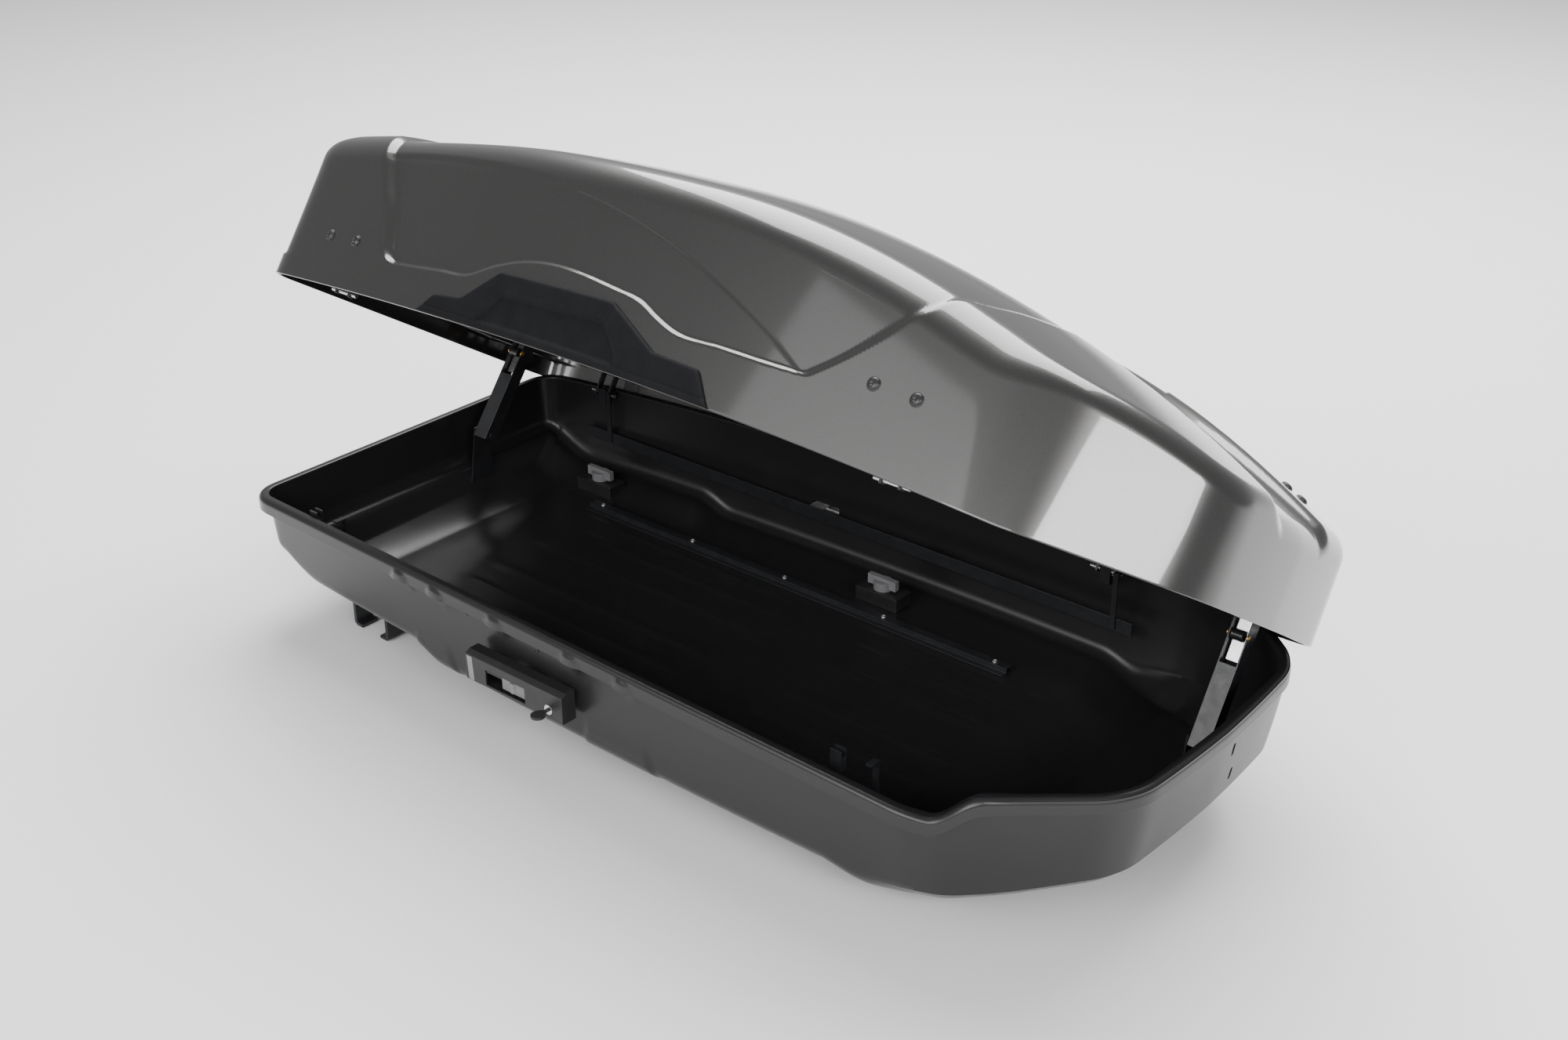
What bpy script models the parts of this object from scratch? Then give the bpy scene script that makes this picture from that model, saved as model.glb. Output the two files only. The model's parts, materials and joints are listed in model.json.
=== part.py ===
"""Roof cargo box: a thermoformed base and a lid that opens from either side.

Frame: +X runs to the nose, -Y is the near side (open), +Y the far side, +Z is up.
z = 0 is the underside of the seats across the base floor, which lie on the roof bars.
The lid is modelled closed, and an empty on the far hinge axis holds it open.
"""

import math

import bmesh
import bpy
import numpy as np
from mathutils import Matrix, Vector

for old in list(bpy.data.objects):
    bpy.data.objects.remove(old, do_unlink=True)

# ---------------------------------------------------------------- driving dimensions (m, degrees)

LENGTH = 1.75  # over the lid's rim
SPLIT_Z = 0.175  # height of the joint between base and lid, at its ends
SPLIT_ARCH = 0.022  # how much the joint rises at the middle of each side
CREST = 0.380  # lid height above the joint, at its highest
LID_OPEN = 32.5
HINGE_Y = 0.347  # hinge axis along X, on the far side; the near side's pins mirror it
HINGE_Z = 0.180
SHEET = 0.0035  # wall thickness of both shells
GAP = 0.0003  # between pieces that touch

# plan of the lid's rim, half of it
REAR_X = -0.868
NOSE_X = REAR_X + LENGTH
REAR_Y = 0.380
REAR_RADIUS = 0.070
CHEEK_X, CHEEK_Y = 0.655, 0.418  # where the side turns into the nose
CHEEK_RADIUS = 0.20
BROW_X, BROW_Y = 0.868, 0.235  # where the cheek turns into the front
BROW_RADIUS = 0.13
SIDE_BULGE = 0.025
END_BULGE = 0.010
SPINE_INSET = 0.16  # the centre line of both shells ends this far from their rims

# lid
LAP = 0.004  # the lid's skirt reaches this far below the joint
REAR_DROP, NOSE_DROP = 0.094, 0.228  # how far the roof's crest falls towards each end
CROWN = 0.060  # how far the roof falls from its crest to its side
VALLEY = 0.026
SHOULDER, REAR_SHOULDER = 0.050, 0.028
WALL_DRAFT, REAR_DRAFT, NOSE_DRAFT = 4.0, -1.0, 0.0

# base
BASE_INSET, REAR_INSET = 0.018, 0.006  # from the lid's rim to the base's lip, at the sides and tail
LIP_WIDTH, LIP_HEIGHT, LIP_ROUND = 0.016, 0.026, 0.006
NOSE_LIP_WIDTH = 0.0030
NOSE_RIM_RISE = 0.042  # the base's rim stands higher inside the lid's nose
BASE_DRAFT = 5.0
NOSE_CURVE = 0.38  # the nose's wall curves inwards by this times the depth squared
SEAT = 0.005  # the floor's seats reach this far below it
SEATS = ((-0.665, -0.605), (-0.022, 0.015), (0.025, 0.085))  # from and to along X
SEAT_Y = 0.20
FLOOR_ROUND, NOSE_ROUND = 0.030, 0.055
TAIL_RISE, TAIL_X, TAIL_RUN = 0.085, -0.715, 0.16
BELLY = -0.018  # the floor under the nose
NOSE_RISE, NOSE_RISE_X = 0.045, 0.60
CHAMFER = 0.022  # the floor's edges rise by this behind the middle

# lifters: pivots as (y, z), with the lid closed for the upper one
LIFTERS = {
    "front": {"x": 0.765, "side": -1, "foot": (0.12, 0.095), "head": (0.20, 0.305)},
    "rear": {"x": -0.776, "side": -1, "foot": (0.12, 0.145), "head": (0.20, 0.350)},
}
CHANNEL_WIDTH, CHANNEL_DEPTH, CHANNEL_WALL = 0.032, 0.028, 0.0025
CHANNEL_LENGTH, CHANNEL_OVERRUN, CHANNEL_FORK = 0.198, 0.012, 0.120  # its face ends at the fork
BAR_HALF, BAR_THICK, BAR_START = 0.0105, 0.0060, 0.126  # the bar that slides in the channel
EYE_HALF, EYE_RADIUS, EYE_BORE = 0.0060, 0.0125, 0.0076
FOOT_CLEAR = 0.005  # the faceted floor is curved under the base brackets
EAR_PLATE, EAR_PLAY = 0.003, 0.002  # the lid brackets' plate, and its distance from the eye
PIN = 0.004  # radius of the pivot pins

# locks, latches and clamps
PIVOT_X = (-0.684, 0.455)
PIN_REACH = 0.030  # half the length of a hinge pin
EAR_X, EAR_THICK, EAR_HALF, EAR_RISE = (-0.018, 0.014), 0.004, 0.006, 0.012  # ears that hold a hinge pin
PIVOT_PLATE, PIVOT_SHELF, PIVOT_TOP = 0.046, 0.040, 0.118  # bracket: half length, shelf and top over the pin
CUP_HALF_X, CUP_HALF_Y, CUP_DROP, CUP_TOP = 0.010, 0.0070, 0.023, 0.010
LATCH_TRAVEL = 0.030
LATCH_Y, LATCH_THICK = 0.3350, 0.0030
LATCH_Z = (0.082, 0.106)
LATCH_ENDS = (-0.040, 0.060)  # how far the bar runs past the rear and the front pin
HOOK_X, HOOK_LAP = (0.020, 0.030), 0.020  # place of a hook along its pin, and its overlap with the bar
HOOK_UNDER, HOOK_TOP = 0.0048, 0.0080  # above the pin's axis
ARM_Z = (0.0835, 0.0925)  # the sliders' arms through the base's walls
LOCK_X, LOCK_Y, LOCK_Z = (-0.238, -0.022), (0.388, 0.417), (0.063, 0.115)
LOCK_WINDOW_X, LOCK_WINDOW_Z = (-0.192, -0.104), (0.069, 0.096)
SLIDER_X = -0.166  # middle of the slider's grip with the latch locked
KEY_X, KEY_Z, CYLINDER_RADIUS = -0.052, 0.080, 0.0085
CLAMP_X, CLAMP_Y = (-0.635, 0.055), 0.280
CLAW_DROP = 0.055
RAIL_X, RAIL_Y = (-0.600, 0.360), 0.222

TRIM_THICK = 0.006
TRIM_OUTLINE = [(-0.440, 0.0), (-0.413, 0.032), (-0.352, 0.038), (-0.290, 0.094), (-0.052, 0.100), (0.055, 0.049),
                (0.143, 0.047), (0.182, 0.0)]  # x, and height above the lid's edge

STATIONS = 34  # round half of the rim


# ---------------------------------------------------------------- materials and objects


def material(name, colour, roughness, metallic=0.0):
    """A Principled material in one colour."""
    mat = bpy.data.materials.new(name)
    mat.use_nodes = True
    shader = mat.node_tree.nodes["Principled BSDF"]
    shader.inputs["Base Color"].default_value = (*colour, 1.0)
    shader.inputs["Roughness"].default_value = roughness
    shader.inputs["Metallic"].default_value = metallic
    return mat


LID_GREY = ("lid_grey", (0.085, 0.083, 0.083), 0.22, 0.75)
SHELL_BLACK = ("shell_black", (0.022, 0.022, 0.024), 0.42)
TRIM_BLACK = ("trim_black", (0.012, 0.012, 0.013), 0.62)
STEEL_BLACK = ("steel_black", (0.030, 0.031, 0.034), 0.40, 0.6)
STEEL_BRIGHT = ("steel_bright", (0.62, 0.62, 0.62), 0.25, 1.0)
HANDLE_GREY = ("handle_grey", (0.22, 0.22, 0.23), 0.50)


def node(name, mesh, finish, parent=None):
    """One sub-part. Its mesh is in world coordinates with the lid closed."""
    obj = bpy.data.objects.new(name, mesh)
    bpy.context.scene.collection.objects.link(obj)
    mesh.materials.clear()
    mesh.materials.append(material(f"{name}_{finish[0]}", *finish[1:]))
    if parent:
        origin = parent.location.copy()
        mesh.transform(Matrix.Translation(-origin))
        obj.parent = parent
    return obj


def pivot(name, location):
    """An empty on a joint's axis. Its children's meshes are made relative to it."""
    empty = bpy.data.objects.new(name, None)
    empty.location = location
    bpy.context.scene.collection.objects.link(empty)
    return empty


def mesh_of(bm, name="piece"):
    bmesh.ops.recalc_face_normals(bm, faces=bm.faces)
    mesh = bpy.data.meshes.new(name)
    bm.to_mesh(mesh)
    bm.free()
    return mesh


# ---------------------------------------------------------------- solid helpers


def box(low, high):
    """A box between two corners."""
    bm = bmesh.new()
    size = Vector(high) - Vector(low)
    middle = (Vector(high) + Vector(low)) / 2
    bmesh.ops.create_cube(bm, size=1.0, matrix=Matrix.Translation(middle) @ Matrix.Diagonal((*size, 1.0)))
    return mesh_of(bm)


def rod(start, end, radius, sides=16):
    """A round bar from one point to another."""
    bm = bmesh.new()
    start, end = Vector(start), Vector(end)
    along = end - start
    turn = along.to_track_quat("Z", "Y").to_matrix().to_4x4()
    bmesh.ops.create_cone(
        bm,
        cap_ends=True,
        segments=sides,
        radius1=radius,
        radius2=radius,
        depth=along.length,
        matrix=Matrix.Translation((start + end) / 2) @ turn,
    )
    return mesh_of(bm)


def prism(outline, low, high, plane="yz"):
    """An outline of points in a plane, extruded along the third axis."""
    place = {
        "yz": lambda a, b, c: (c, a, b),
        "xz": lambda a, b, c: (a, c, b),
        "xy": lambda a, b, c: (a, b, c),
    }[plane]
    bm = bmesh.new()
    ends = [[bm.verts.new(place(a, b, c)) for a, b in outline] for c in (low, high)]
    bm.faces.new(ends[0])
    bm.faces.new(list(reversed(ends[1])))
    count = len(outline)
    for i in range(count):
        j = (i + 1) % count
        bm.faces.new((ends[0][i], ends[1][i], ends[1][j], ends[0][j]))
    return mesh_of(bm)


def combine(first, others, operation):
    """A Boolean of meshes, worked out one after the other."""
    body = bpy.data.objects.new("body", first)
    bpy.context.scene.collection.objects.link(body)
    tools = []
    for other in others:
        tool = bpy.data.objects.new("tool", other)
        tool.hide_render = True
        tool.display_type = "WIRE"
        bpy.context.scene.collection.objects.link(tool)
        modifier = body.modifiers.new("cut", "BOOLEAN")
        modifier.operation = operation
        modifier.solver = "EXACT"
        modifier.object = tool
        tools.append(tool)
    bpy.context.view_layer.update()
    evaluated = body.evaluated_get(bpy.context.evaluated_depsgraph_get())
    result = bpy.data.meshes.new_from_object(evaluated)
    for used in [body, *tools]:
        bpy.data.objects.remove(used, do_unlink=True)
    return result


def union(first, *others):
    return combine(first, others, "UNION")


def cut(first, *others):
    return combine(first, others, "DIFFERENCE")


def moved(mesh, matrix):
    mesh.transform(matrix)
    return mesh


def mirrored(mesh):
    """The same piece on the other side of the box."""
    mesh.transform(Matrix.Diagonal((1.0, -1.0, 1.0, 1.0)))
    mesh.flip_normals()
    return mesh


def smooth(mesh, angle=35.0):
    mesh.shade_smooth()
    mesh.set_sharp_from_angle(angle=math.radians(angle))
    return mesh


# ---------------------------------------------------------------- plan of the rim


def ramp(value, low, high):
    """0 below low, 1 above high, smooth between."""
    t = np.clip((value - low) / (high - low), 0.0, 1.0)
    return t * t * (3.0 - 2.0 * t)


def corner_arc(before, corner, after, radius, steps=24):
    """The points of an arc that rounds a corner of a polygon."""
    to_before = (before - corner) / np.linalg.norm(before - corner)
    to_after = (after - corner) / np.linalg.norm(after - corner)
    half = math.acos(np.clip(to_before @ to_after, -1.0, 1.0)) / 2
    reach = radius / math.tan(half)
    bisector = (to_before + to_after) / np.linalg.norm(to_before + to_after)
    centre = corner + bisector * radius / math.sin(half)
    first, last = corner + to_before * reach - centre, corner + to_after * reach - centre
    sweep = math.atan2(first[0] * last[1] - first[1] * last[0], first @ last)
    angles = np.linspace(0.0, sweep, steps)
    return [centre + np.array([first[0] * math.cos(a) - first[1] * math.sin(a),
                               first[0] * math.sin(a) + first[1] * math.cos(a)]) for a in angles]


def side_share(x):
    """0 at the tail, 1 where the cheek begins."""
    return np.clip((x - REAR_X) / (CHEEK_X - REAR_X), 0.0, 1.0)


def rim_half(stations=STATIONS):
    """Points and inward normals of the lid's rim from the tail's middle to the nose, near side."""
    corners = [np.array(p) for p in ((REAR_X, 0.0), (REAR_X, -REAR_Y), (CHEEK_X, -CHEEK_Y), (BROW_X, -BROW_Y),
                                     (NOSE_X - END_BULGE, 0.0))]
    dense = [corners[0]]
    for i, radius in ((1, REAR_RADIUS), (2, CHEEK_RADIUS), (3, BROW_RADIUS)):
        dense += corner_arc(corners[i - 1], corners[i], corners[i + 1], radius)
    dense.append(corners[4])
    fine = []
    for a, b in zip(dense[:-1], dense[1:]):
        steps = max(1, int(np.linalg.norm(b - a) / 0.004))
        fine += [a + (b - a) * k / steps for k in range(steps)]
    fine = np.array(fine + [dense[-1]])
    share = side_share(fine[:, 0])
    fine[:, 1] -= SIDE_BULGE * 4.0 * share * (1.0 - share) * ramp(-fine[:, 1], 0.0, 0.3)
    nose_share = np.clip(1.0 - (fine[:, 1] / BROW_Y) ** 2, 0.0, 1.0)
    fine[:, 0] += np.where(fine[:, 0] > 0.5, END_BULGE * nose_share, 0.0)
    heading = np.gradient(fine, axis=0)
    length = np.linalg.norm(heading, axis=1)
    heading /= length[:, None]
    bend = np.linalg.norm(np.gradient(heading, axis=0), axis=1) / length
    bend = np.convolve(np.pad(bend, 6, mode="edge"), np.ones(13) / 13, mode="valid")
    walked = np.concatenate([[0.0], np.cumsum((1.0 + 0.22 * bend)[:-1] * length[:-1])])
    places = np.linspace(0.0, walked[-1], stations + 1)
    points = np.stack([np.interp(places, walked, fine[:, k]) for k in (0, 1)], axis=1)
    normals = np.stack([np.interp(places, walked, h) for h in (-heading[:, 1], heading[:, 0])], axis=1)
    normals /= np.linalg.norm(normals, axis=1)[:, None]
    points[0, 1] = points[-1, 1] = 0.0
    normals[0], normals[-1] = (1.0, 0.0), (-1.0, 0.0)
    return points, normals


def side_y(x):
    """Half width of the lid's rim along its straight side."""
    share = side_share(x)
    return REAR_Y + (CHEEK_Y - REAR_Y) * share + SIDE_BULGE * 4.0 * share * (1.0 - share)


def split_z(x):
    """Height of the joint between the shells."""
    share = side_share(x)
    return SPLIT_Z + SPLIT_ARCH * 4.0 * share * (1.0 - share)


def spine(points):
    """Where the section of each rim point meets the centre line."""
    low, high = REAR_X + SPINE_INSET, NOSE_X - SPINE_INSET
    along = (points[:, 0] - REAR_X) / (NOSE_X - REAR_X)
    even = np.linspace(0.0, 1.0, len(points))
    x = low + (high - low) * (0.9 * along + 0.1 * even)
    return np.stack([x, np.zeros_like(x)], axis=1)


def grid_solid(rows, seam):
    """A closed solid from sections round half the plan, and its mirror image.

    Each section is a closed loop, left open after the point number seam, where it meets the centre line.
    """
    bm = bmesh.new()
    for flip in (1.0, -1.0):
        verts = [[bm.verts.new((p[0], p[1] * flip, p[2])) for p in row] for row in rows]
        count = len(rows[0])
        for i in range(len(rows) - 1):
            for j in range(count):
                if j == seam:
                    continue
                k = (j + 1) % count
                quad = (verts[i][j], verts[i][k], verts[i + 1][k], verts[i + 1][j])
                bm.faces.new(quad if flip > 0 else tuple(reversed(quad)))
    bmesh.ops.remove_doubles(bm, verts=bm.verts, dist=1e-6)
    bmesh.ops.triangulate(bm, faces=bm.faces)
    return mesh_of(bm)


# ---------------------------------------------------------------- lid


def crest_line(x):
    """Height of the roof's ridge above the joint."""
    tail = np.clip(-x / 0.875, 0.0, None) ** 2.1
    nose = np.clip(x / 0.875, 0.0, None) ** 2
    return CREST - REAR_DROP * tail - NOSE_DROP * nose


def roof_z(x, y):
    """The roof: two ridges that run together at the nose, with a shallow valley between them."""
    reach = np.abs(y)
    ridge = 0.23 - 0.12 * ramp(x, 0.2, 0.87)
    crown = CROWN * (reach / 0.40) ** 2.4 * (1.0 - 0.5 * ramp(x, 0.5, 0.87))
    valley = VALLEY * ramp(x, -0.02, 0.20) * (1.0 - 0.4 * ramp(x, 0.6, 0.87))
    return SPLIT_Z + crest_line(x) - crown - valley * (1.0 - ramp(reach / ridge, 0.55, 1.0))


def lid_rows(inset):
    """Columns of the lid's outer face (inset 0) or inner face (inset by the sheet)."""
    points, normals = rim_half()
    middle = spine(points)
    nose, tail = np.clip(-normals[:, 0], 0.0, 1.0) ** 2, np.clip(normals[:, 0], 0.0, 1.0) ** 2
    draft = WALL_DRAFT + (NOSE_DRAFT - WALL_DRAFT) * nose + (REAR_DRAFT - WALL_DRAFT) * tail
    round_over = SHOULDER + (REAR_SHOULDER - SHOULDER) * tail - inset
    rows = []
    for point, normal, centre, slope, radius in zip(points, normals, middle, np.tan(np.radians(draft)), round_over):
        base = point + normal * inset
        bottom = split_z(point[0]) - LAP
        height = roof_z(*(base + normal * 0.03)) - inset - radius - bottom
        row = []
        for share in (0.0, 0.10, 0.5, 1.0):
            plan = base + normal * height * share * slope
            row.append((*plan, bottom + height * share))
        edge = base + normal * height * slope
        for angle in (0.4, 0.8, 1.2, math.pi / 2):
            plan = edge + normal * radius * (1.0 - math.cos(angle))
            level = roof_z(*plan) - inset - radius * (1.0 - math.sin(angle))
            row.append((*plan, level))
        shoulder = edge + normal * radius
        for share in (0.22, 0.48, 0.74, 1.0):
            plan = shoulder + (centre - shoulder) * share
            row.append((*plan, roof_z(*plan) - inset))
        rows.append(row)
    return rows


def lid_shell():
    outer, inner = lid_rows(0.0), lid_rows(SHEET)
    sections = [face + list(reversed(back)) for face, back in zip(outer, inner)]
    return smooth(grid_solid(sections, len(outer[0]) - 1), 50.0)


def lid_side_y(x, z):
    """Half width of the lid's outer wall at a height."""
    return side_y(x) - (z - split_z(x) + LAP) * math.tan(math.radians(WALL_DRAFT))


def side_trim():
    """A plate with a raised middle along the lid's lower edge, near side."""
    corners, heights = zip(*TRIM_OUTLINE)
    rows = []
    for x in sorted({*corners, *np.linspace(corners[0], corners[-1], 22)}):
        low = split_z(x) - LAP
        top = low + max(0.002, np.interp(x, corners, heights))
        inner_low, inner_top = lid_side_y(x, low) + GAP * 2, lid_side_y(x, top) + GAP * 2
        rows.append([(x, -inner_low, low), (x, -inner_low - TRIM_THICK, low),
                     (x, -inner_top - TRIM_THICK + 0.0015, top), (x, -inner_top, top)])
    bm = bmesh.new()
    verts = [[bm.verts.new(p) for p in row] for row in rows]
    for a, b in zip(verts[:-1], verts[1:]):
        for j in range(4):
            k = (j + 1) % 4
            bm.faces.new((a[j], a[k], b[k], b[j]))
    bm.faces.new(verts[0])
    bm.faces.new(list(reversed(verts[-1])))
    return mesh_of(bm)


# ---------------------------------------------------------------- base


def floor_z(x):
    """Underside of the floor: upswept tail, flat middle, low belly under the nose."""
    tail = TAIL_RISE * np.clip((TAIL_X - x) / TAIL_RUN, 0.0, None) ** 1.5
    nose = NOSE_RISE * np.clip((x - NOSE_RISE_X) / 0.20, 0.0, None) ** 1.3
    return SEAT + tail + BELLY * ramp(x, 0.44, 0.53) + nose


def floor_edge_z(x):
    """Underside of the floor along its outer edge, which is chamfered behind the middle."""
    return floor_z(x) + CHAMFER * (1.0 - ramp(x, -0.44, -0.36))


def rim_z(x):
    """Top of the base's lip; it steps up inside the lid's nose."""
    return split_z(x) + NOSE_RIM_RISE * ramp(x, CHEEK_X - 0.02, CHEEK_X + 0.05)


def lip_width(x):
    """Width of the lip's flange, which narrows round the nose."""
    return LIP_WIDTH + (NOSE_LIP_WIDTH - LIP_WIDTH) * ramp(x, 0.60, 0.75)


def wall_inset(x, level):
    """How far the base's outer wall lies inside its lip at a height."""
    depth = rim_z(x) - level
    return lip_width(x) + depth * math.tan(math.radians(BASE_DRAFT)) + NOSE_CURVE * ramp(x, 0.44, 0.62) * depth**2


def base_outline():
    """Points and inward normals of the base's lip, and how the floor's middle line lies to them."""
    points, normals = rim_half()
    tail = np.clip(normals[:, 0], 0.0, 1.0) ** 2
    inset = BASE_INSET + (REAR_INSET - BASE_INSET) * tail
    return points + normals * inset[:, None], normals, spine(points)


def base_section(lip, normal, centre, sheet):
    """Floor, rounded corner and wall of one section, on the outer (sheet 0) or inner face."""
    radius = FLOOR_ROUND + (NOSE_ROUND - FLOOR_ROUND) * ramp(lip[0], 0.46, 0.64) - sheet
    low = floor_edge_z(lip[0] + normal[0] * 0.05) + sheet
    slope = (wall_inset(lip[0], low) - wall_inset(lip[0], low + radius)) / radius
    turn = math.pi / 2 - math.atan(slope)
    foot = wall_inset(lip[0], low + radius * (1.0 - math.cos(turn))) + sheet + radius * math.sin(turn)
    found = []
    for share in (1.0, 0.55, 0.195):
        plan = lip + (centre - lip) * share
        found.append((*plan, floor_z(plan[0]) + sheet))
    for angle in np.linspace(0.0, turn, 5):
        plan = lip + normal * (foot - radius * math.sin(angle))
        found.append((*plan, low + radius * (1.0 - math.cos(angle))))
    corner_top, lip_bottom = found[-1][2], rim_z(lip[0]) - LIP_HEIGHT
    for share in (0.33, 0.66):
        level = corner_top + (lip_bottom - corner_top) * share
        found.append((*(lip + normal * (wall_inset(lip[0], level) + sheet)), level))
    return found


def base_shell():
    rows = []
    for lip, normal, centre in zip(*base_outline()):
        rim, width = rim_z(lip[0]), lip_width(lip[0])

        def at(inset, level):
            return (*(lip + normal * inset), level)

        lip_profile = [
            at(width, rim - SHEET),
            at(SHEET, rim - SHEET),
            at(SHEET, rim - LIP_HEIGHT),
            at(0.0, rim - LIP_HEIGHT),
            at(0.0, rim - LIP_ROUND),
            at(LIP_ROUND * 0.3, rim - LIP_ROUND * 0.3),
            at(LIP_ROUND, rim),
            at(width + SHEET, rim),
        ]
        inner = base_section(lip, normal, centre, SHEET)
        rows.append(base_section(lip, normal, centre, 0.0) + lip_profile + list(reversed(inner)))
    shell = grid_solid(rows, len(rows[0]) - 1)
    openings = []
    for flip in (-1.0, 1.0):
        low, high = sorted((0.43 * flip, 0.33 * flip))
        openings.append(box((SLIDER_X - 0.014, low, ARM_Z[0] - 0.003), (SLIDER_X + LATCH_TRAVEL + 0.014, high,
                                                                        ARM_Z[1] + 0.003)))
    for x in CLAMP_X:
        for y in (-CLAMP_Y, CLAMP_Y):
            openings.append(box((x - 0.045, y - 0.009, -0.03), (x + 0.045, y + 0.009, 0.02)))
    seats = [box((low, -SEAT_Y, 0.0), (high, SEAT_Y, SEAT + SHEET / 2)) for low, high in SEATS]
    return smooth(union(cut(shell, *openings), *seats), 40.0)


def base_wall_y(x, z):
    """Half width of the base's inner wall face at a height."""
    return side_y(x) - BASE_INSET - wall_inset(x, z) - SHEET


# ---------------------------------------------------------------- hinges, latches and locks


def lid_pivot(x):
    """A bracket inside the lid's near wall, with two ears that hold the pin over the base's cup."""
    wall = side_y(x) - SHEET - 0.016
    shelf, plate_thick = HINGE_Z + PIVOT_SHELF, 0.003
    inner, outer, top = -HINGE_Y - EAR_HALF, -HINGE_Y + EAR_HALF, shelf + EAR_RISE
    ear = [(-wall, shelf), (inner, shelf), (inner, HINGE_Z - EAR_HALF), (outer, HINGE_Z - EAR_HALF), (outer, top),
           (-wall, top)]
    ears = [prism(ear, x + low, x + low + EAR_THICK) for low in EAR_X]
    plate = box((x - PIVOT_PLATE, -wall, shelf - 0.004), (x + PIVOT_PLATE, -wall + plate_thick, HINGE_Z + PIVOT_TOP))
    bridge = box((x - 0.016, -wall + 0.001, top - 0.003), (x + 0.016, outer - 0.001, top - 0.0005))
    return cut(union(ears[0], bridge, ears[1], plate), pin_rod(x, PIN + GAP, PIN_REACH + 0.010))


def pin_rod(x, radius, reach):
    return rod((x - reach, -HINGE_Y, HINGE_Z), (x + reach, -HINGE_Y, HINGE_Z), radius)


def hinge_pin(x):
    """The pin through a bracket's ears along X: what the latch holds down and the lid turns on."""
    return pin_rod(x, PIN, PIN_REACH)


def pivot_cup(x):
    """A cradle on the base's near wall, open at the top, for the lid's pin."""
    low, floor, top, notch = HINGE_Z - CUP_DROP, HINGE_Z - PIN - GAP, HINGE_Z + CUP_TOP, PIN + GAP
    left, right = -HINGE_Y - CUP_HALF_Y, -HINGE_Y + CUP_HALF_Y
    outline = [(left, low), (right, low), (right, top), (-HINGE_Y + notch, top), (-HINGE_Y + notch, floor),
               (-HINGE_Y - notch, floor), (-HINGE_Y - notch, top), (left, top)]
    return prism(outline, x - CUP_HALF_X, x + CUP_HALF_X)


def latch_bar(shift):
    """A bar along the inner near wall, which carries the hooks; shift moves it to released."""
    left, right = (x + past + shift for x, past in zip(PIVOT_X, LATCH_ENDS))
    return box((left, -LATCH_Y - LATCH_THICK, LATCH_Z[0]), (right, -LATCH_Y, LATCH_Z[1]))


def latch_hook(x, shift):
    """A bent strip that rises from the bar and reaches over the end of a pin."""
    outer, inner, foot = -LATCH_Y + GAP, -LATCH_Y + GAP + LATCH_THICK, LATCH_Z[1] - HOOK_LAP
    reach, under, top = -HINGE_Y - PIN, HINGE_Z + HOOK_UNDER, HINGE_Z + HOOK_TOP
    outline = [(inner, foot), (inner, top), (reach, top), (reach, under), (outer, under), (outer, foot)]
    return prism(outline, *(x + end + shift for end in HOOK_X))


def lock_housing():
    """A hollow plate outside the near wall with a window for the slider and a hole for the cylinder."""
    (left, right), (inner, outer), (low, top) = LOCK_X, LOCK_Y, LOCK_Z
    wall, slope = 0.003, 0.010
    outline = [(-inner, low), (-outer + 0.002, low), (-outer, low + 0.002), (-outer, top - slope * 0.5),
               (-outer + slope, top), (-inner, top)]
    body = prism(outline, left, right)
    hollow = box((left + wall, -outer + wall, low + wall), (right - wall, -inner + 0.01, top - slope * 0.5 - wall))
    window = box((LOCK_WINDOW_X[0], -outer - 0.01, LOCK_WINDOW_Z[0]), (LOCK_WINDOW_X[1], -inner, LOCK_WINDOW_Z[1]))
    hole = rod((KEY_X, -outer - 0.01, KEY_Z), (KEY_X, -inner, KEY_Z), CYLINDER_RADIUS + 0.0003, 24)
    return cut(body, hollow, window, hole)


def lock_slider(shift):
    """The grip in the window, and the arm through the base's wall that meets the latch bar."""
    x, face = SLIDER_X + shift, -LOCK_Y[1] + 0.006
    low, top = LOCK_WINDOW_Z[0] + 0.0025, LOCK_WINDOW_Z[1] - 0.0025
    grip = box((x - 0.025, face, low), (x + 0.025, face + 0.006, top))
    arm = box((x - 0.011, face + 0.004, ARM_Z[0]), (x + 0.011, -LATCH_Y - LATCH_THICK - GAP, ARM_Z[1]))
    ridge = [(x - 0.003, face - 0.0035), (x + 0.003, face - 0.0035), (x + 0.006, face + 0.001),
             (x - 0.006, face + 0.001)]
    return union(grip, arm, prism(ridge, low + 0.002, top - 0.002, "xy"))


def lock_cylinder():
    """The lock's barrel: a drum with a keyway."""
    outer = LOCK_Y[1]
    drum = rod((KEY_X, -outer - 0.0008, KEY_Z), (KEY_X, -outer + 0.022, KEY_Z), CYLINDER_RADIUS, 24)
    keyway = box((KEY_X - 0.0042, -outer - 0.01, KEY_Z - 0.0012), (KEY_X + 0.0042, -outer + 0.018, KEY_Z + 0.0012))
    return cut(drum, keyway)


def key():
    """A key with its blade in the barrel and a moulded head outside."""
    outer = LOCK_Y[1]
    blade = box((KEY_X - 0.0037, -outer - 0.012, KEY_Z - 0.0009), (KEY_X + 0.0037, -outer + 0.016, KEY_Z + 0.0009))
    head = [(KEY_X - 0.005, -outer - 0.009), (KEY_X + 0.005, -outer - 0.009)]
    for angle in np.linspace(math.radians(40), math.radians(-220), 12):
        head.append((KEY_X + 0.0115 * math.cos(angle), -outer - 0.022 + 0.0115 * math.sin(angle)))
    return union(prism(head, KEY_Z - 0.0022, KEY_Z + 0.0022, "xy"), blade)


# ---------------------------------------------------------------- lid lifters


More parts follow.
